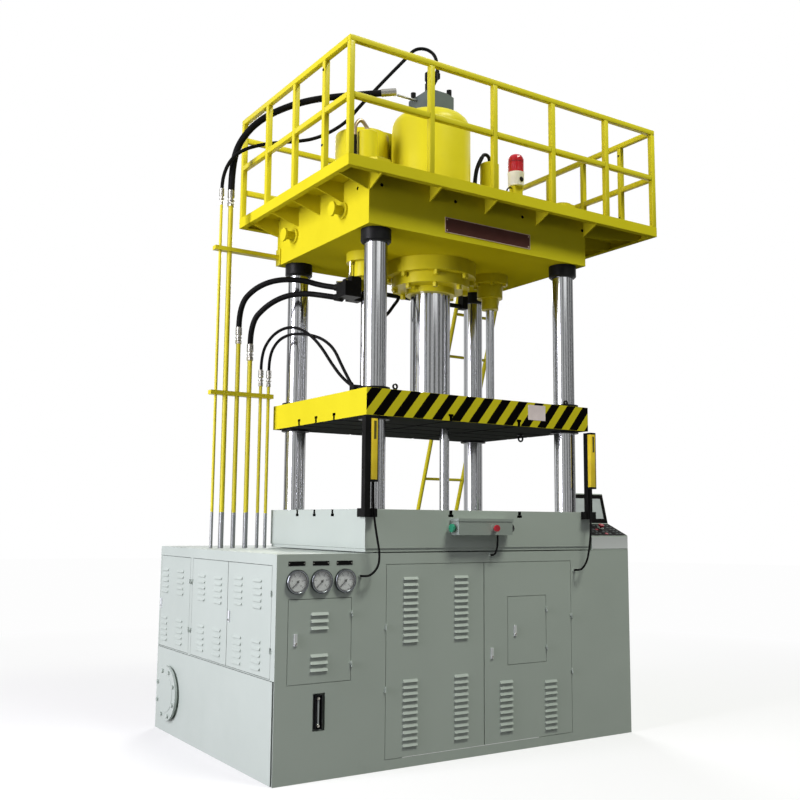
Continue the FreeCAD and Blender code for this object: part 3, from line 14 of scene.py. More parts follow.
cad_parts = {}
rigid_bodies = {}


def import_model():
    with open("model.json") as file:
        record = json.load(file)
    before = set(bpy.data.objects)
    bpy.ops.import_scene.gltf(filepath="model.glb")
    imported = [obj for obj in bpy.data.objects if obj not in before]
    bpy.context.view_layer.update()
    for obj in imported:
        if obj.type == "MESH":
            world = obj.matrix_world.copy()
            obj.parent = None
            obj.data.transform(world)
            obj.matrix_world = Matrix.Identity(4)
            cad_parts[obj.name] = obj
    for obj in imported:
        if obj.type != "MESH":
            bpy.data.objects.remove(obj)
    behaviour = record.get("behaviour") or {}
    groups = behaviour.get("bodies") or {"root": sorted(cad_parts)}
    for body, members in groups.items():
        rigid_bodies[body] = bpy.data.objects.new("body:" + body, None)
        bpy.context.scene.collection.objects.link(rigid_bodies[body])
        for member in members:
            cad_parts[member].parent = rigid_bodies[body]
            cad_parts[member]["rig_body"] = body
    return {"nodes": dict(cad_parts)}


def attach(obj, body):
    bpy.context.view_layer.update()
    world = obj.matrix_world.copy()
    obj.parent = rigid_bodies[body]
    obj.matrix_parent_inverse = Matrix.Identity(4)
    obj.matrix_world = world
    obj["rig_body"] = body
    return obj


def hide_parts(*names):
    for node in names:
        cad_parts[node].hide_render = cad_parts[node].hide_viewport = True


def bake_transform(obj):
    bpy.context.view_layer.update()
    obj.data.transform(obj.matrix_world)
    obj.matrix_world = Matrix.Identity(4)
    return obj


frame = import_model()
LOG = logging.getLogger("press")
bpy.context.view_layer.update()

Point = tuple[float, float, float]
Colour = tuple[float, float, float]

UP: Point = (0.0, 0.0, 1.0)
DOWN: Point = (0.0, 0.0, -1.0)
FRONTWARD: Point = (0.0, -1.0, 0.0)
LEFTWARD: Point = (-1.0, 0.0, 0.0)
MM_PER_METRE = 1000.0
PIPE_SIDES, PIPE_STEPS = 4, 12
HOSE_SIDES, HOSE_STEPS = 6, 10
# How far a node's edges are broken, from thin sheet to the head's block.
FINE_EDGE, SMALL_EDGE, FULL_EDGE, WIDE_EDGE = 0.001, 0.0015, 0.002, 0.003
PAST_FACE = 0.0005  # how far behind a flat face a finish for its holes starts


# ---------------------------------------------------------------- shader maths
class Wire:
    """A node's output whose operators add Math nodes."""

    def __init__(self, tree: "Tree", socket: bpy.types.NodeSocket) -> None:
        """Keeps the socket and the tree that it belongs to."""
        self.tree = tree
        self.socket = socket

    def maths(self, operation: str, first: Any, second: Any = 0.0) -> "Wire":
        """Adds one Math node.

        Args:
            operation: the Math node's operation.
            first: a wire or a number.
            second: a wire or a number.

        Returns:
            The node's value.
        """
        return self.tree.node("ShaderNodeMath", {"operation": operation}, {0: first, 1: second})

    def __add__(self, other: Any) -> "Wire":
        """Sum."""
        return self.maths("ADD", self, other)

    def __radd__(self, other: Any) -> "Wire":
        """Sum, reflected."""
        return self.maths("ADD", other, self)

    def __sub__(self, other: Any) -> "Wire":
        """Difference."""
        return self.maths("SUBTRACT", self, other)

    def __rsub__(self, other: Any) -> "Wire":
        """Difference, reflected."""
        return self.maths("SUBTRACT", other, self)

    def __mul__(self, other: Any) -> "Wire":
        """Product."""
        return self.maths("MULTIPLY", self, other)

    def __rmul__(self, other: Any) -> "Wire":
        """Product, reflected."""
        return self.maths("MULTIPLY", other, self)

    def __truediv__(self, other: Any) -> "Wire":
        """Quotient."""
        return self.maths("DIVIDE", self, other)

    def __rtruediv__(self, other: Any) -> "Wire":
        """Quotient, reflected."""
        return self.maths("DIVIDE", other, self)

    def above(self, limit: Any) -> "Wire":
        """One where the value is over the limit."""
        return self.maths("GREATER_THAN", self, limit)

    def below(self, limit: Any) -> "Wire":
        """One where the value is under the limit."""
        return self.maths("LESS_THAN", self, limit)

    def fraction(self) -> "Wire":
        """The part after the point."""
        return self.maths("FRACT", self)

    def size(self) -> "Wire":
        """The value without its sign."""
        return self.maths("ABSOLUTE", self)

    def larger(self, other: Any) -> "Wire":
        """The larger of two."""
        return self.maths("MAXIMUM", self, other)

    def smaller(self, other: Any) -> "Wire":
        """The smaller of two."""
        return self.maths("MINIMUM", self, other)

    def root(self) -> "Wire":
        """The square root."""
        return self.maths("SQRT", self)

    def ramp(self, low: float, high: float) -> "Wire":
        """Nought at low and one at high, held outside."""
        return self.tree.node("ShaderNodeMapRange", {"clamp": True}, {"Value": self, 1: low, 2: high})


class Tree:
    """A material's nodes, ending in one Principled shader, or the world's."""

    def __init__(self, name: str, world: bpy.types.World | None = None) -> None:
        """Makes an empty material, or empties the world.

        Args:
            name: the finish's name.
            world: the world, when the nodes are its own.
        """
        self.material = world or bpy.data.materials.new(name)
        self.material.use_nodes = True
        self.nodes = self.material.node_tree.nodes
        self.links = self.material.node_tree.links
        self.nodes.clear()
        self.output = self.nodes.new("ShaderNodeOutputWorld" if world else "ShaderNodeOutputMaterial")
        if not world:
            self.shader = self.nodes.new("ShaderNodeBsdfPrincipled")
            self.links.new(self.shader.outputs[0], self.output.inputs[0])

    def node(self, kind: str, settings: dict[str, Any], values: dict[Any, Any], out: Any = 0) -> Wire:
        """Adds a node of any kind.

        Args:
            kind: the node's type.
            settings: its options, set first; a ramp's stops are (place, colour) pairs.
            values: numbers, colours or wires for its sockets.
            out: which output to give back.

        Returns:
            The chosen output.
        """
        made = self.nodes.new(kind)
        for name, value in settings.items():
            if name == "stops":
                self._stops(made.color_ramp, value)
            else:
                setattr(made, name, value)
        for socket, value in values.items():
            self.feed(made.inputs[socket], value)
        return Wire(self, made.outputs[out])

    def _stops(self, band: bpy.types.ColorRamp, stops: Sequence[tuple[float, Colour]]) -> None:
        """Sets a ramp's stops.

        Args:
            band: the ramp's colours.
            stops: pairs of a place and a colour.
        """
        while len(band.elements) < len(stops):
            band.elements.new(0.5)
        for element, (place, colour) in zip(band.elements, stops):
            element.position = place
            element.color = (*colour, 1.0)

    def feed(self, socket: bpy.types.NodeSocket, value: Any) -> None:
        """Links or sets one input.

        Args:
            socket: the input.
            value: a wire, a number or a colour.
        """
        if isinstance(value, Wire):
            self.links.new(value.socket, socket)
        elif isinstance(value, (tuple, list)) and len(value) == 3 and socket.type == "RGBA":
            socket.default_value = (*value, 1.0)
        else:
            socket.default_value = value

    def where(self, name: str = "Object") -> Wire:
        """A coordinate of the surface."""
        return self.node("ShaderNodeTexCoord", {}, {}, name)

    def split(self, vector: Wire) -> tuple[Wire, Wire, Wire]:
        """A vector's X, Y and Z."""
        apart = self.node("ShaderNodeSeparateXYZ", {}, {0: vector}).socket.node
        return tuple(Wire(self, output) for output in apart.outputs)

    def axes(self) -> tuple[Wire, Wire, Wire]:
        """The object's X, Y and Z in metres."""
        return self.split(self.where())

    def facing(self) -> tuple[Wire, Wire, Wire]:
        """The surface normal's X, Y and Z."""
        return self.split(self.where("Normal"))

    def mix(self, share: Any, first: Wire, second: Wire) -> Wire:
        """Mixes two shaders; the share is how much of the second."""
        return self.node("ShaderNodeMixShader", {}, {0: share, 1: first, 2: second})

    def show(self, shader: Wire) -> None:
        """Sends a shader to the output."""
        self.feed(self.output.inputs[0], shader)

    def noise(self, scale: float, detail: float = 2.0, stretch: Point = (1.0, 1.0, 1.0)) -> Wire:
        """A noise between nought and one, about a half.

        Args:
            scale: how many to a metre.
            detail: how fine it breaks up.
            stretch: the pattern's scale along each axis.

        Returns:
            The noise.
        """
        place = self.node("ShaderNodeMapping", {}, {"Vector": self.where(), "Scale": stretch})
        return self.node("ShaderNodeTexNoise", {}, {"Vector": place, "Scale": scale, "Detail": detail})

    def uneven(self, scale: float, detail: float, swing: float, level: float) -> Wire:
        """A roughness that wanders above its level by up to a swing."""
        return self.noise(scale, detail).ramp(0.3, 0.7) * swing + level

    def blend(self, share: Any, first: Any, second: Any) -> Wire:
        """A colour between two."""
        return self.node("ShaderNodeMix", {"data_type": "RGBA"}, {0: share, 6: first, 7: second}, 2)

    def bump(self, height: Wire, strength: float, distance: float) -> None:
        """Feeds the shader's normal from a height.

        Args:
            height: nought to one.
            strength: how much of it counts.
            distance: its depth in metres.
        """
        relief = self.node("ShaderNodeBump", {},
                           {"Height": height, "Strength": strength, "Distance": distance})
        self.feed(self.shader.inputs["Normal"], relief)

    def done(self, **values: Any) -> bpy.types.Material:
        """Sets the shader's sockets, with spaces written as underscores, and gives the material.

        Args:
            values: the value of each socket.

        Returns:
            The material.
        """
        for name, value in values.items():
            self.feed(self.shader.inputs[name.replace("_", " ")], value)
        return self.material


# ---------------------------------------------------------------- finishes
@dataclass(frozen=True)
class Enamel:
    """A sprayed paint with a little orange peel and dust, glossy or matt."""

    name: str
    colour: Colour
    shade: Colour
    roughness: float = 0.30
    peel: float = 0.10
    gloss: float = 0.10
    coat_share: float = 0.4

    def tree(self) -> tuple[Tree, Wire]:
        """The paint's nodes and its colour.

        Returns:
            The nodes and the colour.
        """
        tree = Tree(self.name)
        cloud = tree.noise(2.2, 4.0).ramp(0.35, 0.68)
        dust = tree.noise(38.0, 3.0).ramp(0.62, 0.78)
        colour = tree.blend(cloud * 0.55 + dust * 0.25, self.colour, self.shade)
        tree.feed(tree.shader.inputs["Roughness"], tree.uneven(9.0, 3.0, 0.14, self.roughness))
        tree.bump(tree.noise(420.0, 1.0), self.peel, 0.0004)
        return tree, colour

    def material(self) -> bpy.types.Material:
        """The finished paint.

        Returns:
            The material.
        """
        tree, colour = self.tree()
        return tree.done(Base_Color=colour, Coat_Weight=self.gloss * self.coat_share, Coat_Roughness=0.12,
                         Specular_IOR_Level=self.gloss)


@dataclass(frozen=True)
class PowderCoat:
    """A fine-grained satin coat on folded sheet."""

    name: str
    colour: Colour
    shade: Colour
    roughness: float = 0.42

    def material(self) -> bpy.types.Material:
        """The finished coat.

        Returns:
            The material.
        """
        tree = Tree(self.name)
        cloud = tree.noise(1.6, 4.0).ramp(0.32, 0.7)
        low = tree.axes()[2].ramp(0.28, 0.0)
        scuff = tree.noise(14.0, 5.0, (1.0, 1.0, 0.4)).ramp(0.6, 0.8) * low
        colour = tree.blend(cloud * 0.5 + scuff * 0.5, self.colour, self.shade)
        tree.bump(tree.noise(900.0, 1.0), 0.14, 0.0003)
        return tree.done(Base_Color=colour, Roughness=tree.uneven(6.0, 3.0, 0.12, self.roughness))


class Grind(Enum):
    """Which way a bar was ground."""

    ROUND = (1.0, 1.0, 60.0)
    ALONG = (60.0, 60.0, 1.0)


@dataclass(frozen=True)
class Plating:
    """Ground and plated metal, darker where it turns away."""

    name: str
    colour: Colour
    roughness: float = 0.14
    grind: Grind = Grind.ROUND
    edge: Colour = (0.75, 0.75, 0.75)
    film: float = 0.5

    def material(self) -> bpy.types.Material:
        """The finished plating.

        Returns:
            The material.
        """
        tree = Tree(self.name)
        lines = tree.noise(6.0, 4.0, self.grind.value)
        cloud = tree.noise(3.0, 3.0).ramp(0.35, 0.7)
        dull = tuple(part * 0.82 for part in self.colour)
        rough = lines.ramp(0.3, 0.7) * 0.04 + cloud * (0.08 * self.film) + self.roughness
        tree.bump(lines, 0.02, 0.0001)
        return tree.done(Base_Color=tree.blend(cloud * self.film, self.colour, dull), Metallic=1.0,
                         Roughness=rough, Specular_Tint=self.edge)


@dataclass(frozen=True)
class Plain:
    """Moulded plastic, rubber, glass or dark steel, by its numbers."""

    name: str
    colour: Colour
    roughness: float = 0.5
    metallic: float = 0.0
    grain: float = 300.0
    depth: float = 0.12
    coat: float = 0.0
    clear: float = 0.0
    shine: float = 0.25

    def material(self) -> bpy.types.Material:
        """The finished surface.

        Returns:
            The material.
        """
        tree = Tree(self.name)
        patch = tree.noise(12.0, 3.0).ramp(0.35, 0.7)
        pale = tuple(min(1.0, part * 1.25 + 0.006) for part in self.colour)
        tree.bump(tree.noise(self.grain, 2.0), self.depth, 0.0003)
        return tree.done(Base_Color=tree.blend(patch * 0.6, self.colour, pale),
                         Roughness=tree.uneven(25.0, 2.0, 0.12, self.roughness),
                         Metallic=self.metallic, Coat_Weight=self.coat, Alpha=1.0 - self.clear,
                         Specular_IOR_Level=self.shine)


@dataclass(frozen=True)
class Striped(Enamel):
    """The slide's paint: plain, with slanted black bands on its front edge, and a dark grey painted on the
    faces below as their shade.
    """

    pitch: float = 0.1385
    slant: float = 0.80
    share: float = 0.53
    start: float = -0.728
    front: float = -0.8945
    low: float = 1.991
    high: float = 2.1495
    black: Colour = (0.004, 0.0035, 0.003)
    # the dark grey painted on the faces below, as their shade
    underside: Colour = (0.060, 0.060, 0.056)

    def material(self) -> bpy.types.Material:
        """The finished paint with its bands.

        Returns:
            The material.
        """
        tree, colour = self.tree()
        x, y, z = tree.axes()
        normal = tree.facing()
        along = (x - self.start - (z - self.low) * self.slant) / self.pitch
        ragged = along + tree.noise(60.0, 2.0) * 0.02
        band = ragged.fraction().below(self.share) * normal[1].below(-0.7) * y.below(self.front)
        band = band * z.above(self.low) * z.below(self.high)
        banded = tree.blend(band, colour, self.black)
        # Painted shade: faces turned down at the slide's bottom take the dark grey.
        under = normal[2].below(-0.5) * z.below(self.low + 0.002)
        return tree.done(Base_Color=tree.blend(under, banded, self.underside), Specular_IOR_Level=0.0)


@dataclass(frozen=True)
class RiserPaint(Enamel):
    """The risers' yellow, which stops above the cabinet and leaves bare steel."""

    edge: float = 1.44
    steel: Colour = (0.25, 0.26, 0.26)

    def material(self) -> bpy.types.Material:
        """The finished paint over its steel.

        Returns:
            The material.
        """
        tree, colour = self.tree()
        bare = (tree.axes()[2] + tree.noise(30.0, 3.0) * 0.02).below(self.edge)
        return tree.done(Base_Color=tree.blend(bare, colour, self.steel), Metallic=bare * 0.6,
                         Specular_IOR_Level=0.3)


@dataclass(frozen=True)
class Dial:
    """A gauge's white card with its scale, round a middle."""

    name: str
    middle: Point
    radius: float
    ticks: int = 25
    sweep: float = 270.0

    def material(self) -> bpy.types.Material:
        """The finished card.

        Returns:
            The material.
        """
        tree = Tree(self.name)
        place = tree.node("ShaderNodeMapping", {"vector_type": "POINT"},
                          {"Vector": tree.where(), "Location": tuple(-part for part in self.middle)})
        x, _y, z = tree.split(place)
        reach = (x * x + z * z).root() / self.radius
        turn = x.maths("ARCTAN2", x, z) * (180.0 / math.pi)
        on_scale = turn.size().below(self.sweep / 2 + 1.5)
        step = self.sweep / self.ticks
        fine = ((turn + self.sweep / 2) / step + 0.5).fraction()
        coarse = ((turn + self.sweep / 2) / (5 * step) + 0.5).fraction()
        thin = (fine - 0.5).size().below(0.12) * reach.above(0.80) * reach.below(0.93)
        thick = (coarse - 0.5).size().below(0.045) * reach.above(0.72) * reach.below(0.93)
        ring = reach.above(0.925) * reach.below(0.95)
        ink = ((thin + thick).smaller(1.0) * on_scale + ring).smaller(1.0)
        paper = tree.blend(tree.noise(80.0).ramp(0.3, 0.7), (0.88, 0.89, 0.90), (0.80, 0.81, 0.82))
        return tree.done(Base_Color=tree.blend(ink, paper, (0.02, 0.02, 0.02)), Roughness=0.6)


class Finishes:
    """Every finish on the press, made once, with the record's slot for each."""

    def __init__(self) -> None:
        """Makes the materials by name."""
        yellow, olive = (0.64, 0.565, 0.020), (0.56, 0.485, 0.014)
        grey, shade = (0.43, 0.485, 0.435), (0.375, 0.425, 0.38)
        chrome, edge = (0.56, 0.57, 0.58), (0.30, 0.30, 0.30)
        recipes = {
            "yellow_paint": (Enamel("yellow_enamel", yellow, olive),
                             Enamel("yellow_matt", yellow, olive, gloss=0.0),
                             Striped("striped_enamel", yellow, olive),
                             RiserPaint("riser_enamel", yellow, olive)),
            "grey_paint": (PowderCoat("grey_coat", grey, shade),
                           PowderCoat("control_grey", (0.30, 0.345, 0.31), (0.26, 0.30, 0.27)),
                           PowderCoat("pale_coat", (0.66, 0.68, 0.68), (0.58, 0.60, 0.60))),
            "ground_chrome": (Plating("ground_column", chrome, 0.13, film=0.15, edge=edge),
                              Plating("ground_rod", chrome, 0.11, film=0.15, edge=edge),
                              # the bezels' metal is darkened to paint in the dark reflection on their rims
                              Plating("bezel_chrome_painted_dark_reflection", (0.15, 0.16, 0.17), 0.14)),
            "bright_steel": (Plating("zinc", (0.40, 0.39, 0.35), 0.24, Grind.ALONG),
                             Plating("bronze_elbow", (0.36, 0.28, 0.18), 0.30, Grind.ALONG),
                             Plating("silver_pipe", (0.72, 0.72, 0.70), 0.20, Grind.ALONG)),
            "black_paint": (Plain("black_collar", (0.004, 0.004, 0.004), 0.36, grain=200.0, shine=0.10),
                            Plain("black_fitting", (0.005, 0.005, 0.005), 0.38, shine=0.07),
                            # near black: painted shade inside T-slots, tapped holes and keyways; also the
                            # back of the oil window's pocket and the middles of the gauge plates
                            Plain("slot_black", (0.003, 0.003, 0.003), 0.7, shine=0.05),
                            Plain("plate_black", (0.006, 0.006, 0.007), 0.45, shine=0.12)),
            "dark_grey_paint": (Plain("dark_casting", (0.085, 0.105, 0.100), 0.5, grain=260.0, depth=0.3),
                                Plain("motor_paint", (0.10, 0.13, 0.14), 0.5)),
            "black_rubber": (Plain("hose_cover", (0.003, 0.003, 0.003), 0.45, grain=500.0, depth=0.25,
                                   shine=0.05),),
            "curtain_yellow": (Plain("curtain_face", (0.86, 0.62, 0.030), 0.32, coat=0.1),
                               Plain("curtain_strip", (0.10, 0.085, 0.012), 0.40)),
            "gauge_glass": (Plain("clear_cover", (0.95, 0.97, 0.97), 0.05, clear=0.90, depth=0.0),
                            Plain("display_grey", (0.50, 0.54, 0.55), 0.15, coat=0.5, depth=0.02)),
            "white_plastic": (Plain("lamp_white", (0.72, 0.71, 0.66), 0.45),
                              Plain("notice_white", (0.72, 0.62, 0.62), 0.5),
                              Plain("key_grey", (0.07, 0.08, 0.08), 0.45, shine=0.1),
                              Plain("plate_edge", (0.55, 0.42, 0.30), 0.4)),
            "red_plastic": (Plain("lamp_red", (0.36, 0.003, 0.010), 0.16, coat=0.25),
                            Plain("lamp_core", (0.05, 0.002, 0.004), 0.30),
                            Plain("stop_red", (0.42, 0.010, 0.025), 0.3, coat=0.4),
                            Plain("plate_brown", (0.060, 0.014, 0.008), 0.42, shine=0.2)),
            "green_plastic": (Plain("palm_green", (0.02, 0.26, 0.14), 0.3, coat=0.4),),
            "black_plastic": (Plain("palm_black", (0.012, 0.012, 0.012), 0.3, coat=0.3),
                              Plain("needle_black", (0.004, 0.004, 0.004), 0.5, shine=0.05),
                              Plain("keypad_black", (0.006, 0.005, 0.005), 0.4, shine=0.04)),
        }
        self.by_name: dict[str, bpy.types.Material] = {}
        self.slots: dict[str, str] = {}
        for slot, group in recipes.items():
            for recipe in group:
                self.add(recipe, slot)

    def add(self, recipe: Any, slot: str) -> None:
        """Makes one more finish."""
        self.by_name[recipe.name] = recipe.material()
        self.slots[recipe.name] = slot

    def __getitem__(self, name: str) -> bpy.types.Material:
        """A finish by its name."""
        return self.by_name[name]

    def dress(self, piece: bpy.types.Object, *names: str) -> bpy.types.Object:
        """Gives a piece its finishes.

        Args:
            piece: the object.
            names: its finishes, in order.

        Returns:
            The object.
        """
        for name in names:
            piece.data.materials.append(self[name])
        return piece


# ---------------------------------------------------------------- shaping tools
def body_of(node: str) -> str:
    """The body that a CAD node rides on."""
    return frame["nodes"][node]["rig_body"]


def link(name: str, data: Any) -> bpy.types.Object:
    """Puts data into the scene as an object.

    Args:
        name: the object's name.
        data: its mesh, curve, light or camera.

    Returns:
        The object.
    """
    made = bpy.data.objects.new(name, data)
    bpy.context.scene.collection.objects.link(made)
    return made


def mesh_of(shape: bmesh.types.BMesh, name: str) -> bpy.types.Mesh:
    """Makes mesh data of a shape, which is freed.

    Args:
        shape: the shape.
        name: the mesh's name.

    Returns:
        The mesh.
    """
    mesh = bpy.data.meshes.new(name)
    shape.to_mesh(mesh)
    shape.free()
    return mesh


def mesh_from(made: bpy.types.Object) -> bpy.types.Mesh:
    """Makes mesh data of a curve or a text, whose object is removed.

    Args:
        made: the object.

    Returns:
        The mesh.
    """
    bpy.context.view_layer.update()
    mesh = bpy.data.meshes.new_from_object(made)
    bpy.data.objects.remove(made)
    return mesh


def smooth(shape: bmesh.types.BMesh, corner: float) -> None:
    """Shades a shape smooth, but for edges sharper than a corner, in degrees.

    Args:
        shape: the shape.
        corner: the angle.
    """
    for face in shape.faces:
        face.smooth = True
    for edge in shape.edges:
        edge.smooth = edge.calc_face_angle(math.pi) < math.radians(corner)


def bent(name: str, points: Sequence[Point], radius: float, sides: int, steps: int) -> bpy.types.Object:
    """Bends a curve through points.

    Args:
        name: the object's name.
        points: the points, in metres.
        radius: its round section's radius, or nought for a bare line.
        sides: how finely the section is divided.
        steps: how finely the length is divided.

    Returns:
        The curve's object.
    """
    curve = bpy.data.curves.new(name, "CURVE")
    curve.dimensions = "3D"
    line = curve.splines.new("NURBS")
    line.points.add(len(points) - 1)
    for control, point in zip(line.points, points):
        control.co = (*point, 1.0)
    line.order_u = 3
    line.use_endpoint_u = True
    line.resolution_u = steps
    curve.bevel_depth, curve.bevel_resolution, curve.use_fill_caps = radius, sides, True
    return link(name, curve)


@dataclass(frozen=True)
class Face:
    """A flat place: its middle and how far it leans about X, where 90 degrees stands upright."""

    middle: Point
    lean: float = 90.0

    def matrix(self) -> Matrix:
        """From a drawing on X and Y, with Z outwards, to the press."""
        return Matrix.Translation(self.middle) @ Matrix.Rotation(math.radians(self.lean), 4, "X")


class Shape:
    """A piece in the making, joined from parts that are each one closed form."""

    def __init__(self) -> None:
        """Starts with nothing."""
        self.mesh = bmesh.new()

    def join(self, part: bmesh.types.BMesh, finish: int = 0, place: Matrix | None = None) -> "Shape":
        """Adds a part.

        Args:
            part: the part; it is freed.
            finish: which of the piece's finishes it takes.
            place: where it goes.

        Returns:
            The shape, so that calls can follow each other.
        """
        if place is not None:
            bmesh.ops.transform(part, matrix=place, verts=part.verts)
        bmesh.ops.recalc_face_normals(part, faces=part.faces)
        for face in part.faces:
            face.material_index += finish
        mesh = mesh_of(part, "part")
        self.mesh.from_mesh(mesh)
        bpy.data.meshes.remove(mesh)
        return self

    def block(self, low: Point, high: Point, round_off: float = 0.0, finish: int = 0,
              place: Matrix | None = None) -> "Shape":
        """Adds a block between two corners with its edges rounded.

        Args:
            low: the lowest corner.
            high: the highest corner.
            round_off: the edges' radius.
            finish: which of the piece's finishes it takes.
            place: where it goes.

        Returns:
            The shape.
        """
        part = bmesh.new()
        bmesh.ops.create_cube(part, size=1.0)
        bmesh.ops.scale(part, vec=Vector(high) - Vector(low), verts=part.verts)
        bmesh.ops.translate(part, vec=(Vector(high) + Vector(low)) / 2, verts=part.verts)
        if round_off:
            bmesh.ops.bevel(part, geom=part.edges[:], offset=round_off, segments=2, profile=0.5,
                            affect="EDGES", material=-1)
        return self.join(part, finish, place)

    def turned(self, outline: Sequence[tuple[float, float]], middle: Point, axis: Point = UP,
               steps: int = 32, finish: int = 0) -> "Shape":
        """Adds a turned form.

        Args:
            outline: radius and place along the axis, from end to end.
            middle: where the axis starts.
            axis: its direction.
            steps: how many sides it has.
            finish: which of the piece's finishes it takes.

        Returns:
            The shape.
        """
        part = bmesh.new()
        points = [part.verts.new((radius, 0.0, along)) for radius, along in outline]
        edges = [part.edges.new(pair) for pair in zip(points, points[1:])]
        bmesh.ops.spin(part, geom=points + edges, cent=(0.0, 0.0, 0.0), axis=UP,
                       angle=2 * math.pi, steps=steps, use_merge=True)
        bmesh.ops.remove_doubles(part, verts=part.verts, dist=1e-6)
        turn = Vector(UP).rotation_difference(Vector(axis)).to_matrix().to_4x4()
        return self.join(part, finish, Matrix.Translation(middle) @ turn)

    def disc(self, radius: float, depth: float, middle: Point, axis: Point = UP,
             round_off: float = 0.0015, steps: int = 32, finish: int = 0) -> "Shape":
        """Adds a flat round form with its edges broken.

        Args:
            radius: its radius.
            depth: how thick it is.
            middle: the middle of its first side.
            axis: its direction.
            round_off: how far its edges are broken.
            steps: how many sides it has.
            finish: which of the piece's finishes it takes.

        Returns:
            The shape.
        """
        small = min(round_off, depth / 3)
        return self.turned(((0.0, 0.0), (radius - small, 0.0), (radius, small), (radius, depth - small),
                            (radius - small, depth), (0.0, depth)), middle, axis, steps, finish)

    def plate(self, width: float, height: float, face: Face, depth: float = 0.002, rim: float = 0.004,
              sunk: float = 0.0004) -> "Shape":
        """Adds a plate whose bare middle, inside its rim, takes the next finish.

        Args:
            width: its size along the face.
            height: its size up the face.
            face: where it is fixed.
            depth: how thick it is.
            rim: how wide the rim is.
            sunk: how far the middle lies below the rim.

        Returns:
            The shape.
        """
        part = bmesh.new()
        bmesh.ops.create_cube(part, size=1.0)
        bmesh.ops.scale(part, vec=(width, height, depth), verts=part.verts)
        bmesh.ops.translate(part, vec=(0.0, 0.0, depth / 2), verts=part.verts)
        top = [side for side in part.faces if side.normal.z > 0.9]
        bmesh.ops.inset_region(part, faces=top, thickness=rim, depth=-sunk)
        for side in top:
            side.material_index = 1
        return self.join(part, 0, face.matrix())

    def pipe(self, points: Sequence[Point], radius: float) -> "Shape":
        """Adds a bent pipe through points, in metres.

        Args:
            points: the points.
            radius: the pipe's radius.

        Returns:
            The shape.
        """
        part = bmesh.new()
        part.from_mesh(mesh_from(bent("pipe", points, radius, PIPE_SIDES, PIPE_STEPS)))
        return self.join(part)

    def figure(self, text: str, height: float, face: Face) -> "Shape":
        """Adds a figure of a dial, lying on a face.

        Args:
            text: the figure.
            height: its height.
            face: where it lies.

        Returns:
            The shape.
        """
        curve = bpy.data.curves.new("figure", "FONT")
        curve.body, curve.size = text, height
        curve.align_x, curve.align_y = "CENTER", "CENTER"
        part = bmesh.new()
        part.from_mesh(mesh_from(link("figure", curve)))
        return self.join(part, place=face.matrix())

    def piece(self, name: str, finishes: Finishes, *names: str, body: str = "frame",
              replaces: Sequence[str] = (), corner: float = 35.0) -> bpy.types.Object:
        """Makes the finished object.

        Args:
            name: the piece's name.
            finishes: all finishes.
            names: the finishes of this piece, in order.
            body: the CAD body that it rides on.
            replaces: CAD nodes that it stands for.
            corner: edges sharper than this, in degrees, stay crisp.

        Returns:
            The object.
        """
        smooth(self.mesh, corner)
        made = finishes.dress(link(name, mesh_of(self.mesh, name)), *names)
        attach(made, body)
        if replaces:
            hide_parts(*replaces)
        LOG.info("piece %s", name)
        return made


@dataclass(frozen=True)
class Zone:
    """A box in which a node's faces take another finish."""

    finish: str
    low: Point
    high: Point

    def holds(self, point: Vector) -> bool:
        """Whether a point lies in it."""
        return all(low <= part <= high for low, part, high in zip(self.low, point, self.high))


def skin(node: str, finishes: Finishes, finish: str, bevel: float = 0.0, zones: Sequence[Zone] = (),
         corner: float = 30.0) -> bpy.types.Object:
    """Stands a merged, smooth-shaded copy in for a CAD node.

    Args:
        node: the CAD node.
        finishes: all finishes.
        finish: the node's main finish.
        bevel: how far its edges are broken, in metres.
        zones: where it takes other finishes.
        corner: edges sharper than this, in degrees, are broken and stay crisp.

    Returns:
        The copy.
    """
    shape = bmesh.new()
    shape.from_mesh(frame["nodes"][node].data)
    bmesh.ops.remove_doubles(shape, verts=shape.verts, dist=2e-5)
    bmesh.ops.dissolve_limit(shape, angle_limit=math.radians(0.5), verts=shape.verts, edges=shape.edges)
    names = [finish] + [name for name in dict.fromkeys(zone.finish for zone in zones) if name != finish]
    for face in shape.faces:
        middle = face.calc_center_median()
        face.material_index = next((names.index(zone.finish) for zone in zones if zone.holds(middle)), 0)
    smooth(shape, corner)
    piece = finishes.dress(link(f"{node}_skin", mesh_of(shape, f"{node}_skin")), *names)
    if bevel:
        broken = piece.modifiers.new("broken_edge", "BEVEL")
        broken.width, broken.segments, broken.limit_method = bevel, 2, "ANGLE"
        broken.angle_limit, broken.harden_normals = math.radians(corner), True
    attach(piece, body_of(node))
    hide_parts(node)
    LOG.info("skin %s", node)
    return piece


def skins(finishes: Finishes, finish: str, bevel: float, *nodes: str) -> None:
    """Skins several nodes alike."""
    for node in nodes:
        skin(node, finishes, finish, bevel)


# ---------------------------------------------------------------- hoses and cables
@dataclass
class Hose:
    """A hose or cable along its route, whose points are written in millimetres."""

    name: str
    node: str
    diameter: float
    route: tuple[Point, ...]
    stiffness: str = "stiff"
    lay: str = "hanging"
    moves: bool = False

    def curve(self, radius: float) -> bpy.types.Object:
        """The route as a smooth curve with a round section, or a bare line at no radius."""
        points = [tuple(part / MM_PER_METRE for part in point) for point in self.route]
        return bent(self.name, points, radius, HOSE_SIDES, HOSE_STEPS)

    def build(self, finishes: Finishes) -> bpy.types.Object:
        """Args:
            finishes: all finishes.

        Returns:
            The hose.
        """
        points = [tuple(vertex.co) for vertex in mesh_from(self.curve(0.0)).vertices]
        piece = self.curve(self.diameter / 2)
        if self.moves:
            piece = link(self.name, mesh_from(piece))
        finishes.dress(piece, "hose_cover")
        if self.moves:
            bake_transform(piece)
        else:
            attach(piece, "frame")
        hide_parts(self.node)
        return piece


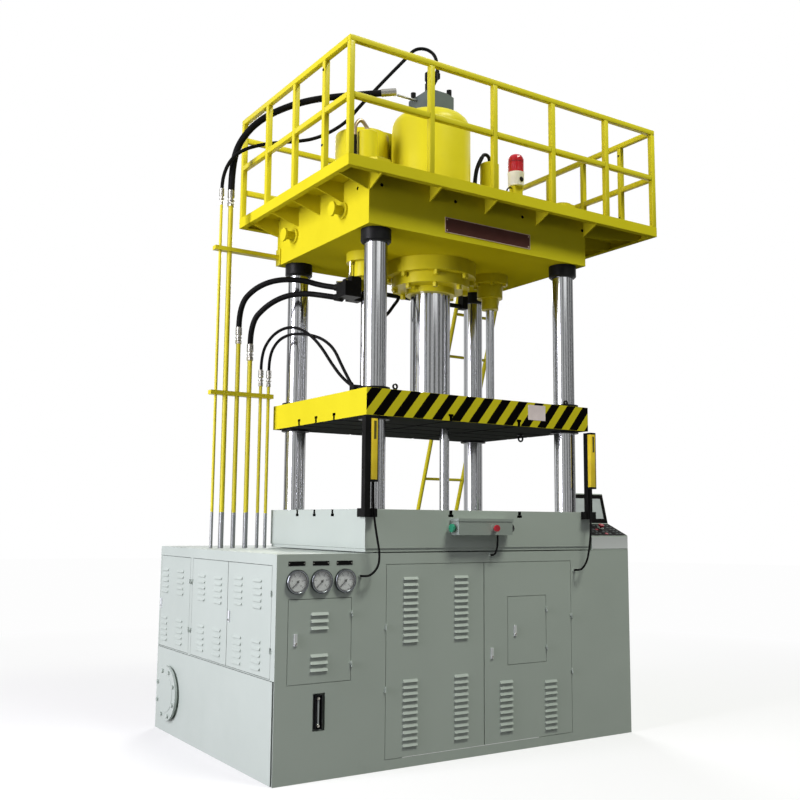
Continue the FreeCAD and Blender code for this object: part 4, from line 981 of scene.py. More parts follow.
@dataclass
class Plumbing:
    """Every hose and cable on the press."""

    hoses: tuple[Hose, ...] = (
        Hose("prefill_line", "prefill_hose", 0.046,
             ((-1140, 300, 3592), (-1140, 300, 3770), (-1098, 275, 3951), (-974, 202, 4115),
              (-753, 71, 4235), (-517, -68, 4285), (-270, -206, 4316))),
        Hose("pilot_line", "pilot_hose", 0.024,
             ((-1207, 300, 3592), (-1207, 300, 3705), (-1135, 232, 3850), (-950, 165, 3925),
              (-780, 115, 3955), (-619, 49, 3995), (-449, -24, 4115), (-354, -64, 4254),
              (-245, -111, 4396), (-150, -154, 4518), (-52, -198, 4640), (2, -221, 4712),
              (88, -257, 4718), (150, -284, 4655), (150, -284, 4560))),
        Hose("return_line", "return_hose", 0.038,
             ((-1056, 300, 2661), (-1056, 300, 2815), (-985, 212, 2925), (-880, 105, 2975),
              (-740, 0, 2970), (-630, -66, 2932), (-590, -178, 2905))),
        Hose("pressure_line", "pressure_hose", 0.038,
             ((-970, 300, 2555), (-970, 300, 2705), (-905, 205, 2810), (-825, 105, 2868),
              (-725, 15, 2885), (-628, -68, 2868), (-590, -178, 2838))),
        Hose("slide_line_left", "slide_hoses", 0.020,
             ((-886, 300, 2388), (-886, 300, 2500), (-870, 200, 2600), (-840, 70, 2645),
              (-813, -70, 2630), (-790, -200, 2570), (-768, -320, 2475), (-742, -425, 2345),
              (-716, -525, 2240), (-694, -620, 2181)), moves=True),
        Hose("slide_line_right", "slide_hoses", 0.020,
             ((-828, 300, 2388), (-828, 300, 2490), (-818, 205, 2578), (-802, 75, 2604),
              (-785, -65, 2592), (-768, -200, 2562), (-752, -325, 2518), (-737, -440, 2442),
              (-727, -525, 2318), (-716, -615, 2207)), moves=True),
        Hose("head_line_left", "side_cylinder_hoses", 0.028,
             ((-519, -284, 3931), (-519, -284, 3825), (-516, -290, 3715), (-520, -295, 3600),
              (-520, -295, 3465))),
        Hose("head_line_right", "side_cylinder_hoses", 0.030,
             ((548, -284, 4005), (507, -284, 3939), (482, -286, 3825), (477, -290, 3710),
              (480, -295, 3595), (480, -295, 3465))),
        Hose("curtain_lead_left", "curtain_cables", 0.013,
             ((-758, -955, 1602), (-758, -955, 1495), (-748, -955, 1385), (-730, -958, 1285),
              (-710, -955, 1200), (-720, -958, 1125), (-765, -952, 1080), (-800, -942, 1075),
              (-800, -900, 1075)), stiffness="medium"),
        Hose("curtain_lead_right", "curtain_cables", 0.013,
             ((925, -955, 1602), (925, -955, 1500), (919, -955, 1395), (914, -958, 1295),
              (902, -955, 1205), (880, -958, 1135), (848, -950, 1088), (822, -942, 1076),
              (822, -900, 1076)), stiffness="medium"),
        Hose("control_lead", "small_cables", 0.012,
             ((154, -936, 1303), (154, -936, 1262), (148, -938, 1222), (132, -935, 1180),
              (132, -900, 1180)), stiffness="medium"),
        Hose("lamp_lead", "small_cables", 0.010,
             ((548, -620, 3680), (510, -620, 3680), (474, -648, 3615), (450, -675, 3540),
              (446, -690, 3466)), stiffness="medium"),
    )

    def build(self, finishes: Finishes) -> None:
        """Makes every hose and cable.

        Args:
            finishes: all finishes.
        """
        for hose in self.hoses:
            hose.build(finishes)
            LOG.info("hose %s", hose.name)


# ---------------------------------------------------------------- camera, light and floor
@dataclass(frozen=True)
class Lamp:
    """A soft area lamp: its place, its width and height, its power and tint."""

    name: str
    place: Point
    width: float
    height: float
    power: float
    tint: Colour = (1.0, 1.0, 1.0)


@dataclass(frozen=True)
class Card:
    """A grey card that only reflections show, to darken the bright metal in bands."""

    name: str
    place: Point
    width: float
    height: float
    tone: float


@dataclass
class Studio:
    """The camera at the photograph's place, soft light and a pale floor."""

    eye: Point = (-3.660, -5.671, 1.381)
    yaw: float = 33.127
    pitch: float = 7.0895
    roll: float = 0.464
    lens: float = 43.905
    lamps: tuple[Lamp, ...] = (
        Lamp("key", (-8.0, -0.8, 3.4), 3.0, 6.4, 920.0, (0.93, 0.90, 1.0)),
        Lamp("front", (-0.8, -8.0, 5.2), 4.0, 1.5, 20.0),
        Lamp("front_high", (1.8, -5.5, 10.5), 3.5, 2.0, 790.0, (0.97, 1.0, 0.90)),
        Lamp("back", (3.5, 6.0, 6.0), 3.0, 3.0, 340.0),
    )
    # The row of cards: its tones from left to right, first angle and step in degrees, and distance.
    fence: tuple[float, ...] = (0.50, 0.62, 0.22, 0.58, 0.16, 0.52, 0.14, 0.46, 0.10, 0.40, 0.06, 0.30)
    fence_start: float = -150.0
    fence_step: float = 13.0
    fence_reach: float = 8.5
    fence_cover: float = 0.93  # the share of a step that its card covers
    fence_level: float = 3.0
    fence_height: float = 13.0
    aim: Point = (0.0, -0.2, 2.2)
    glow: float = 0.14
    glow_tint: Colour = (0.95, 0.97, 1.0)
    floor_bounce: float = 0.11
    floor_radius: float = 30.0
    floor_level: float = -0.0005
    floor_white: float = 0.985
    fade: tuple[float, float] = (2.2, 7.0)  # where the floor starts and ends fading to white
    least_glow: float = 0.55

    def camera(self) -> None:
        """Stands the camera in its place."""
        yaw, pitch, roll = (math.radians(angle) for angle in (self.yaw, self.pitch, self.roll))
        ahead = Vector((math.sin(yaw) * math.cos(pitch), math.cos(yaw) * math.cos(pitch), math.sin(pitch)))
        right = Vector((math.cos(yaw), -math.sin(yaw), 0.0))
        up = right.cross(ahead)
        side = right * math.cos(roll) + up * math.sin(roll)
        top = up * math.cos(roll) - right * math.sin(roll)
        view = Matrix((side, top, -ahead)).transposed().to_4x4()
        view.translation = Vector(self.eye)
        data = bpy.data.cameras.new("camera")
        data.lens, data.sensor_width, data.sensor_fit = self.lens, 36.0, "HORIZONTAL"
        data.clip_end = 100.0
        made = link("camera", data)
        made.matrix_world = view
        bpy.context.scene.camera = made

    def cards(self) -> list[Card]:
        """A card behind, and a row of tall cards round the front with white showing between them.

        Returns:
            The cards.
        """
        width = self.fence_reach * math.radians(self.fence_step) * self.fence_cover
        row = [Card("card_back", (-5.5, 7.0, 2.6), 3.0, 7.0, 0.10)]
        for k, tone in enumerate(self.fence):
            angle = math.radians(self.fence_start + self.fence_step * k)
            place = (self.fence_reach * math.cos(angle), self.fence_reach * math.sin(angle), self.fence_level)
            row.append(Card(f"card_{k + 1}", place, width, self.fence_height, tone))
        return row

    def towards_press(self, place: Point) -> Any:
        """The turn that points a lamp or card at the press."""
        return (Vector(self.aim) - Vector(place)).to_track_quat("-Z", "Y").to_euler()

    def light(self) -> None:
        """Hangs the lamps and stands the cards."""
        for lamp in self.lamps:
            data = bpy.data.lights.new(lamp.name, "AREA")
            data.shape, data.size, data.size_y = "RECTANGLE", lamp.width, lamp.height
            data.energy, data.color = lamp.power, lamp.tint
            made = link(lamp.name, data)
            made.location, made.rotation_euler = lamp.place, self.towards_press(lamp.place)
        for card in self.cards():
            shape = bmesh.new()
            bmesh.ops.create_grid(shape, x_segments=1, y_segments=1, size=0.5)
            bmesh.ops.scale(shape, vec=(card.width, card.height, 1.0), verts=shape.verts)
            made = link(card.name, mesh_of(shape, card.name))
            made.location, made.rotation_euler = card.place, self.towards_press(card.place)
            made.visible_camera = made.visible_diffuse = made.visible_shadow = False
            made.visible_transmission = False
            paper = Tree(f"{card.name}_paper")
            made.data.materials.append(paper.done(
                Base_Color=(0.0, 0.0, 0.0), Roughness=1.0, Specular_IOR_Level=0.0,
                Emission_Color=(card.tone,) * 3, Emission_Strength=1.0))

    def seen_rays(self, tree: Tree) -> Wire:
        """One for the camera's, glossy and transmission rays.

        Args:
            tree: the nodes of a material or the world.

        Returns:
            The mask.
        """
        camera, glossy, through = (tree.node("ShaderNodeLightPath", {}, {}, name) for name in
                                   ("Is Camera Ray", "Is Glossy Ray", "Is Transmission Ray"))
        return camera.larger(glossy).larger(through)

    def world(self) -> None:
        """A white room to look at, which lights softly."""
        world = bpy.data.worlds.new("pale_room")
        bpy.context.scene.world = world
        tree = Tree("pale_room", world)
        seen = tree.node("ShaderNodeBackground", {}, {"Color": (1.0, 1.0, 1.0)})
        soft = tree.node("ShaderNodeBackground", {}, {"Color": self.glow_tint, "Strength": self.glow})
        tree.show(tree.mix(self.seen_rays(tree), soft, seen))

    def floor(self) -> None:
        """Lays a pale floor that keeps the shadow near the press and fades to white."""
        shape = bmesh.new()
        bmesh.ops.create_circle(shape, cap_ends=True, segments=96, radius=self.floor_radius)
        ground = link("floor", mesh_of(shape, "floor"))
        ground.location = (0.0, 0.0, self.floor_level)
        tree = Tree("pale_floor")
        x, y, _z = tree.axes()
        far = (x * x + y * y).root().ramp(*self.fade)
        white = tree.node("ShaderNodeEmission", {}, {"Color": (self.floor_white,) * 3})
        near = tree.mix(far * (1.0 - self.least_glow) + self.least_glow,
                        Wire(tree, tree.shader.outputs[0]), white)
        dim = tree.node("ShaderNodeBsdfDiffuse", {}, {"Color": (self.floor_bounce,) * 3})
        tree.show(tree.mix(self.seen_rays(tree), dim, near))
        ground.data.materials.append(tree.done(Base_Color=(0.90, 0.90, 0.90), Roughness=0.85))

    def build(self) -> None:
        """Sets up the whole studio."""
        bpy.context.scene.view_settings.view_transform = "Standard"
        self.camera()
        self.light()
        self.world()
        self.floor()


# ---------------------------------------------------------------- base
@dataclass
class Cabinet:
    """The base cabinet, its doors and their latches, and what stands inside."""

    front: float = -0.895
    left: float = -1.320
    front_latches: tuple[tuple[str, float, float], ...] = (
        ("small_door", -1.200, 0.745), ("front_door_right", 0.139, 0.590), ("inspection_door", 0.322, 0.716))
    side_latches: tuple[tuple[str, float, float], ...] = (
        ("side_door_back", 0.854, 0.822), ("side_door_front", -0.290, 0.827))
    half_width: float = 0.0095
    half_height: float = 0.0325
    key_drop: float = 0.020
    stand: float = 0.0090  # how far a latch stands off its door
    over: float = 0.0010  # how far a latch's box reaches past it
    under: float = 0.0004  # and how far it stays off the door's sheet
    barrel: float = 0.0065
    keyway: float = 0.0030

    def latched_door(self, node: str, latch: tuple[Point, Point], key: Point, way: Point,
                     finishes: Finishes) -> None:
        """Skins a door with its latch pale, and puts the keyway in the latch's barrel, as a near-black disc
        painted as the hole's shade.

        Args:
            node: the door's CAD node.
            latch: the corners of the box round its latch.
            key: the middle of the keyway.
            way: where the door faces.
            finishes: all finishes.
        """
        skin(node, finishes, "grey_coat", zones=(Zone("pale_coat", *latch),))
        shape = Shape().disc(self.barrel, 0.0006, key, way, 0.0002, 20)
        # the keyway's near black is painted shade of the hole
        shape.disc(self.keyway, 0.0010, key, way, 0.0002, 12, finish=1)
        shape.piece(f"{node}_keyway", finishes, "zinc", "slot_black", body=body_of(node))

    def build(self, finishes: Finishes) -> None:
        """Makes the cabinet.

        Args:
            finishes: all finishes.
        """
        skins(finishes, "grey_coat", 0.0, "cabinet_front", "cabinet_panels", "oil_tank", "electrical_panel",
              "pedestals", "front_door_left", "side_door_middle")
        skin("clean_out_cover", finishes, "grey_coat", FINE_EDGE)
        skins(finishes, "motor_paint", FINE_EDGE, "motor", "pump")
        skin("valve_manifold", finishes, "dark_casting", FINE_EDGE)
        for node, x, z in self.front_latches:
            low = (x - self.half_width, self.front - self.stand - self.over, z - self.half_height)
            high = (x + self.half_width, self.front - self.under, z + self.half_height)
            key = (x, self.front - self.stand, z - self.key_drop)
            self.latched_door(node, (low, high), key, FRONTWARD, finishes)
        for node, y, z in self.side_latches:
            low = (self.left - self.stand - self.over, y - self.half_width, z - self.half_height)
            high = (self.left - self.under, y + self.half_width, z + self.half_height)
            key = (self.left - self.stand, y, z - self.key_drop)
            self.latched_door(node, (low, high), key, LEFTWARD, finishes)


@dataclass
class OilWindow:
    """The tank's level gauge in its opening: dark pocket, sight tube, scale and two plugs."""

    # The corners of the opening's box, and then the sizes of what stands in it.
    low: Point = (-1.0705, -0.899, 0.267)
    high: Point = (-1.0305, -0.872, 0.445)
    wall: float = 0.003
    back: float = 0.004
    tube: float = 0.0065
    tube_end: float = 0.018
    scale_end: float = 0.030
    plug: float = 0.0095
    plug_end: float = 0.017
    plug_length: float = 0.018
    hexagon: float = 0.006

    def build(self, finishes: Finishes) -> None:
        """Makes the window.

        Args:
            finishes: all finishes.
        """
        (x0, y0, z0), (x1, y1, z1) = self.low, self.high
        wall, middle = self.wall, (x0 + x1) / 2
        shape = Shape()
        for low, high in (((x0, y0, z0), (x0 + wall, y1, z1)), ((x1 - wall, y0, z0), (x1, y1, z1)),
                          ((x0 + wall, y0, z0), (x1 - wall, y1, z0 + wall)),
                          ((x0 + wall, y0, z1 - wall), (x1 - wall, y1, z1))):
            shape.block(low, high, 0.0006)
        shape.block((x0 + wall, y1 - self.back, z0 + wall), (x1 - wall, y1, z1 - wall), finish=1)
        length = z1 - z0 - 2 * self.tube_end
        shape.turned(((0.0, 0.0), (self.tube, 0.0), (self.tube, length), (0.0, length)),
                     (middle + 0.002, y1 - 0.011, z0 + self.tube_end), steps=20, finish=2)
        shape.block((middle - 0.011, y1 - 0.0052, z0 + self.scale_end),
                    (middle - 0.0055, y1 - 0.0036, z1 - self.scale_end), finish=3)
        for z in (z0 + self.plug_end, z1 - self.plug_end):
            shape.disc(self.plug, self.plug_length, (middle, y1 - 0.003, z), FRONTWARD, 0.002, 24, 4)
            shape.turned(((0.0, 0.0), (self.hexagon, 0.0), (self.hexagon, self.hexagon), (0.0, self.hexagon)),
                         (middle, y1 - 0.020, z), FRONTWARD, 6, 4)
        shape.piece("oil_window", finishes, "plate_black", "slot_black", "display_grey", "notice_white",
                    "zinc", replaces=("oil_level_gauge",))


@dataclass
class Gauges:
    """Three dial gauges with chrome bezels, cards, figures and bare plates above them."""

    first: float = -1.197
    pitch: float = 0.1485
    level: float = 1.052
    front: float = -0.895
    radius: float = 0.066
    case: float = 0.050  # the case behind the panel
    case_depth: float = 0.044
    card: float = 0.0556
    card_gap: float = 0.0004
    card_out: float = 0.0050
    dial: float = 0.0535
    glass_out: float = 0.017
    plate_shift: float = -0.003
    plate_level: float = 1.1495
    plate_width: float = 0.102
    plate_height: float = 0.024
    rivet_reach: float = 0.045
    figures: tuple[int, ...] = (0, 5, 10, 15, 20, 25)
    figure_start: float = -135.0
    figure_step: float = 54.0
    figure_ring: float = 0.0315
    figure_height: float = 0.0115

    def bezel(self, x: float, shape: Shape) -> None:
        """A rolled rim, the case behind it, the dial's dark surround and the needle's hub.

        Args:
            x: the gauge's place along X.
            shape: the piece in the making.
        """
        middle = (x, self.front, self.level)
        lip = self.card - 0.0003
        shape.turned(((0.0, 0.004), (self.card - self.card_gap, 0.004)), middle, FRONTWARD, 64, 1)
        shape.turned(((self.card, 0.004), (self.card, 0.0172), (0.0574, 0.0192), (0.0602, 0.0199),
                      (0.0635, 0.0188), (0.0655, 0.0160), (0.0660, 0.0120), (0.0648, 0.0050),
                      (0.0660, 0.0010), (self.radius, 0.0), (self.case, 0.0), (self.case, -self.case_depth),
                      (0.0, -self.case_depth)), middle, FRONTWARD, 64)
        shape.turned(((self.dial, 0.0045), (self.dial, 0.0090), (lip, 0.0100), (lip, 0.0045),
                      (self.dial, 0.0045)), middle, FRONTWARD, 64, 1)
        shape.disc(0.005, 0.008, (x, self.front - 0.004, self.level), FRONTWARD, 0.0006, 20, 1)

    def dial_card(self, k: int, x: float, finishes: Finishes) -> None:
        """One dial's card and its figures.

        Args:
            k: the gauge's number.
            x: the gauge's place along X.
            finishes: all finishes.
        """
        finishes.add(Dial(f"dial_card_{k}", (x, self.front - self.card_out, self.level), self.dial),
                     "white_plastic")
        card = Shape().disc(self.dial - 0.0001, 0.0006, (x, self.front - 0.0046, self.level), FRONTWARD,
                            0.0001, 64)
        card.piece(f"dial_{k}", finishes, f"dial_card_{k}")
        numbers = Shape()
        for place, figure in enumerate(self.figures):
            angle = math.radians(self.figure_start + self.figure_step * place)
            spot = (x + self.figure_ring * math.sin(angle), self.front - 0.0055,
                    self.level + self.figure_ring * math.cos(angle))
            numbers.figure(str(figure), self.figure_height, Face(spot))
        numbers.piece(f"dial_{k}_figures", finishes, "needle_black")

    def plate(self, k: int, x: float, finishes: Finishes) -> None:
        """The bare plate over one dial, with its two rivets.

        Args:
            k: the gauge's number.
            x: the plate's place along X.
            finishes: all finishes.
        """
        plate = Shape().plate(self.plate_width, self.plate_height, Face((x, self.front, self.plate_level)),
                              0.0015, 0.0018, 0.0003)
        for way in (-1, 1):
            plate.disc(0.0032, 0.0012, (x + way * self.rivet_reach, self.front - 0.0013, self.plate_level),
                       FRONTWARD, 0.0004, 16, 2)
        plate.piece(f"gauge_plate_{k}", finishes, "plate_black", "slot_black", "zinc")

    def build(self, finishes: Finishes) -> None:
        """Makes the three gauges.

        Args:
            finishes: all finishes.
        """
        cases, glasses = Shape(), Shape()
        glass = self.card - self.card_gap
        for k in range(1, 4):
            x = self.first + (k - 1) * self.pitch
            self.bezel(x, cases)
            glasses.turned(((0.0, 0.0), (glass, 0.0), (glass, 0.0012), (0.030, 0.0018), (0.0, 0.0020)),
                           (x, self.front - self.glass_out, self.level), FRONTWARD, 48)
            self.dial_card(k, x, finishes)
            self.plate(k, x + self.plate_shift, finishes)
            skin(f"gauge_needle_{k}", finishes, "needle_black")
        # the rims take chrome darkened as painted reflection
        cases.piece("gauge_bezels", finishes, "bezel_chrome_painted_dark_reflection", "plate_black", replaces=("gauge_cases",))
        glasses.piece("gauge_covers", finishes, "clear_cover", replaces=("gauge_glasses",))


# ---------------------------------------------------------------- press frame and slide
@dataclass
class Tables:
    """The bed and the slide with their T-slots, the columns, collars, rings and rods."""

    left: float = -0.773
    right: float = 0.967
    front: float = -0.895
    back: float = 0.327
    side_slots: tuple[float, ...] = (-0.514, -0.284, -0.054)
    front_slots: tuple[float, ...] = (-0.171, 0.365)
    slot_half: float = 0.0190
    slot_depth: float = 0.0425
    bed_top: float = 1.450
    slide_bottom: float = 1.990
    # The fittings on the slide's top, which stay black.
    hose_port: Zone = Zone("black_fitting", (-0.760, -0.720, 2.1505), (-0.640, -0.600, 2.25))
    eye_bolts: tuple[float, ...] = (-0.568, 0.782)
    eye_reach: float = 0.03
    fitting_low: float = 2.1505
    fitting_high: float = 2.25
    column_xs: tuple[float, ...] = (-0.657, 0.851)
    column_ys: tuple[float, ...] = (-0.789, 0.221)
    cap_radius: float = 0.0712
    cap_height: float = 0.012
    cap_level: float = 3.5545
    notice: Point = (0.515, -0.895, 2.085)
    notice_width: float = 0.146
    notice_height: float = 0.098
    # The lifting eye under the slide, by the middle of its ring.
    ring: Point = (0.745, -0.46, 1.958)
    ring_radius: float = 0.020
    ring_bends: int = 8
    eye_foot: float = 0.022
    ring_wire: float = 0.006

    def slot_zones(self, low: float, high: float) -> list[Zone]:
        """The inside of every T-slot between two levels, which is painted near black as its shade.

        Args:
            low: the lower level.
            high: the upper level.

        Returns:
            The zones.
        """
        zones = []
        for y in self.side_slots:
            zones.append(Zone("slot_black", (self.left + PAST_FACE, y - self.slot_half, low),
                              (self.right - PAST_FACE, y + self.slot_half, high)))
        for x in self.front_slots:
            zones.append(Zone("slot_black", (x - self.slot_half, self.front + PAST_FACE, low),
                              (x + self.slot_half, self.back - PAST_FACE, high)))
        return zones

    def build(self, finishes: Finishes) -> None:
        """Makes the tables and what guides them.

        Args:
            finishes: all finishes.
        """
        # the T-slots' insides take the near black that paints their shade
        bed_zones = self.slot_zones(self.bed_top - self.slot_depth - 0.001, self.bed_top - PAST_FACE)
        slide_zones = self.slot_zones(self.slide_bottom + PAST_FACE,
                                      self.slide_bottom + self.slot_depth + 0.001)
        skin("bed", finishes, "grey_coat", SMALL_EDGE, bed_zones)
        eyes = [Zone("black_fitting", (x - self.eye_reach, self.front, self.fitting_low),
                     (x + self.eye_reach, self.front + 0.035, self.fitting_high)) for x in self.eye_bolts]
        skin("slide", finishes, "striped_enamel", SMALL_EDGE, [self.hose_port, *eyes, *slide_zones])
        skin("columns", finishes, "ground_column", FULL_EDGE)
        skin("rams", finishes, "ground_rod", FINE_EDGE)
        upper = Zone("yellow_enamel", (-2.0, -2.0, 3.4), (2.0, 2.0, 4.0))
        skin("column_nuts", finishes, "black_collar", FULL_EDGE, (upper,))
        skins(finishes, "black_collar", FINE_EDGE, "column_collars", "guide_rings")
        caps = Shape()
        for x in self.column_xs:
            for y in self.column_ys:
                caps.disc(self.cap_radius, self.cap_height, (x, y, self.cap_level), round_off=0.003, steps=40)
        caps.piece("column_caps", finishes, "yellow_enamel")
        notice = Shape().plate(self.notice_width, self.notice_height, Face(self.notice), 0.0012, 0.004,
                               0.0002)
        notice.piece("slide_notice", finishes, "notice_white", "notice_white", body="slide")
        x, y, z = self.ring
        eye = Shape().disc(self.eye_foot, 0.010, (x, y, self.slide_bottom), DOWN, 0.002, 24)
        turns = [math.radians(90 + 360 / self.ring_bends * k) for k in range(self.ring_bends + 1)]
        eye.pipe([(x + self.ring_radius * math.cos(turn), y, z + self.ring_radius * math.sin(turn))
                  for turn in turns], self.ring_wire)
        eye.piece("slide_eye", finishes, "black_fitting", body="slide")


@dataclass
class Head:
    """The crosshead with its tapped holes and bare nameplate, and all its cylinders."""

    front: float = -0.895
    left: float = -0.773
    tap_level: float = 3.375
    front_taps: tuple[float, ...] = (-0.685, -0.139, 0.407, 0.942)
    side_taps: tuple[float, ...] = (0.258, -0.251, -0.759)
    tap_reach: float = 0.012
    side_tap_end: float = -0.74
    front_tap_end: float = -0.86
    nameplate: Point = (0.125, -0.895, 3.214)
    nameplate_width: float = 0.690
    nameplate_height: float = 0.098
    plate_screws: tuple[tuple[float, float], ...] = (
        (-0.205, 3.180), (-0.205, 3.248), (0.455, 3.180), (0.455, 3.248))
    # What isn't yellow on the return cylinders, nor dark grey on the valve.
    elbows: tuple[Zone, ...] = (
        Zone("bronze_elbow", (-0.60, -0.35, 3.9705), (-0.40, -0.20, 4.10)),
        Zone("bronze_elbow", (-0.60, -0.35, 3.92), (-0.4935, -0.20, 4.10)),
        Zone("black_fitting", (0.54, -0.35, 3.9705), (0.70, -0.20, 4.10)))
    valve_fittings: tuple[Zone, ...] = (
        Zone("black_fitting", (0.0, -0.34, 4.3505), (0.13, -0.23, 4.60)),
        Zone("black_fitting", (0.13, -0.34, 4.36), (0.24, -0.23, 4.60)),
        Zone("bronze_elbow", (-0.30, -0.25, 4.29), (-0.24, -0.15, 4.36)),
        Zone("zinc", (-0.30, -0.34, 4.28), (-0.0175, -0.15, 4.36)))
    valve_bolts: tuple[tuple[float, float], ...] = (
        (0.005, -0.372), (0.005, -0.196), (0.189, -0.372), (0.189, -0.196))
    bolt_reach: float = 0.0185
    side_tank: Point = (-0.262, 0.055, 3.465)
    tank_radius: float = 0.190
    tank_height: float = 0.627
    elbow_nut: Point = (-0.423, -0.284, 3.966)
    nut_radius: float = 0.024
    nut_height: float = 0.028
    drain: tuple[Point, ...] = (
        (-0.538, -0.284, 3.068), (-0.5385, -0.284, 3.010), (-0.542, -0.284, 2.965), (-0.560, -0.284, 2.930),
        (-0.600, -0.284, 2.914), (-0.640, -0.284, 2.910))
    drain_radius: float = 0.009

    def crosshead(self, finishes: Finishes) -> None:
        """The head block and its plate.

        Args:
            finishes: all finishes.
        """
        reach, low, high = self.tap_reach, self.tap_level - self.tap_reach, self.tap_level + self.tap_reach
        # the tapped holes' insides are painted near black as their shade
        zones = [Zone("slot_black", (x - reach, self.front + PAST_FACE, low),
                      (x + reach, self.front_tap_end, high)) for x in self.front_taps]
        zones += [Zone("slot_black", (self.left + PAST_FACE, y - reach, low),
                       (self.side_tap_end, y + reach, high)) for y in self.side_taps]
        skin("crosshead", finishes, "yellow_matt", WIDE_EDGE, zones)
        plate = Shape().plate(self.nameplate_width, self.nameplate_height, Face(self.nameplate), 0.003, 0.006,
                              0.0008)
        for x, z in self.plate_screws:
            plate.disc(0.005, 0.002, (x, self.front - 0.0025, z), FRONTWARD, 0.0006, 16)
        plate.piece("bare_nameplate", finishes, "plate_edge", "plate_brown")

    def cylinders(self, finishes: Finishes) -> None:
        """Main and return cylinders, gland, valve, feed tank and side tank.

        Args:
            finishes: all finishes.
        """
        skin("main_cylinder", finishes, "yellow_enamel")
        skin("cylinder_gland", finishes, "yellow_enamel", SMALL_EDGE)
        skin("side_cylinders", finishes, "yellow_enamel", 0.0, self.elbows)
        reach = self.bolt_reach
        bolts = [Zone("black_fitting", (x - reach, y - reach, 4.33), (x + reach, y + reach, 4.40))
                 for x, y in self.valve_bolts]
        skin("prefill_valve", finishes, "dark_casting", SMALL_EDGE, [*self.valve_fittings, *bolts])
        skin("prefill_tank", finishes, "yellow_enamel", WIDE_EDGE)
        wide, top = self.tank_radius, self.tank_height
        tank = Shape().turned(((0.0, 0.0), (wide, 0.0), (wide, top - 0.017), (wide - 0.003, top - 0.006),
                               (wide - 0.012, top - 0.001), (0.0, top)), self.side_tank, steps=64)
        tank.piece("side_tank", finishes, "yellow_enamel")
        nut = Shape().disc(self.nut_radius, self.nut_height, self.elbow_nut, steps=6)
        nut.piece("elbow_nut", finishes, "bronze_elbow")
        Shape().pipe(self.drain, self.drain_radius).piece("drain_pipe", finishes, "silver_pipe")

    def build(self, finishes: Finishes) -> None:
        """Makes the head."""
        self.crosshead(finishes)
        self.cylinders(finishes)


# ---------------------------------------------------------------- platform
@dataclass
class GuardRail:
    """The square-tube rail round the deck, each tube with its rolled corners."""

    left: float = -0.979
    right: float = 1.512
    front: float = -1.016
    back: float = 0.463
    foot: float = 3.465  # the deck's level, from which the heights below are counted
    height: float = 0.717
    mid: float = 0.377
    back_top: float = 0.588
    back_mid: float = 0.208
    tube: float = 0.036
    corner: float = 0.0045
    front_posts: tuple[float, ...] = (-0.979, -0.414, 0.075, 0.564, 1.053, 1.512)
    side_posts: tuple[float, ...] = (-1.016, -0.716, -0.323, 0.070, 0.463)
    back_posts: tuple[float, ...] = (-0.979, -0.333, 0.527, 0.945)
    past_ladder: tuple[float, ...] = (1.455, 1.512)  # the stub on the ladder's far side
    bolt_levels: tuple[float, ...] = (4.085, 3.610)

    def post(self, shape: Shape, x: float, y: float, height: float) -> None:
        """An upright from the deck."""
        half = self.tube / 2
        shape.block((x - half, y - half, self.foot), (x + half, y + half, self.foot + height), self.corner)

    def along_x(self, shape: Shape, start: float, end: float, y: float, top: float) -> None:
        """A tube along X, under a level above the deck."""
        half, high = self.tube / 2, self.foot + top
        shape.block((start, y - half, high - self.tube), (end, y + half, high), self.corner)

    def along_y(self, shape: Shape, start: float, end: float, x: float, top: float) -> None:
        """A tube along Y, under a level above the deck."""
        half, high = self.tube / 2, self.foot + top
        shape.block((x - half, start, high - self.tube), (x + half, end, high), self.corner)

    def build(self, finishes: Finishes) -> None:
        """Makes the rail.

        Args:
            finishes: all finishes.
        """
        shape, half = Shape(), self.tube / 2
        standing = self.height - self.tube
        for x in self.front_posts:
            self.post(shape, x, self.front, standing)
        for x in (self.left, self.right):
            for y in self.side_posts[1:]:
                self.post(shape, x, y, standing)
            self.along_y(shape, self.front + half, self.back + half, x, self.height)
            for start, end in zip(self.side_posts, self.side_posts[1:]):
                self.along_y(shape, start + half, end - half, x, self.mid)
        for x in self.back_posts[1:] + self.past_ladder[:1]:
            self.post(shape, x, self.back, self.back_top)
        self.along_x(shape, self.left - half, self.right + half, self.front, self.height)
        for start, end in zip(self.front_posts, self.front_posts[1:]):
            self.along_x(shape, start + half, end - half, self.front, self.mid)
        for row in (self.back_posts, self.past_ladder):
            for start, end in zip(row, row[1:]):
                for top in (self.back_top, self.back_mid):
                    self.along_x(shape, start + half, end - half, self.back, top)
        for x in (self.left - half, self.right - half):
            for z in self.bolt_levels:
                shape.disc(0.008, 0.005, (x, self.side_posts[1], z), LEFTWARD, 0.001, 16, 1)
        shape.piece("rail_tubes", finishes, "yellow_enamel", "black_fitting", replaces=("guard_rail",))


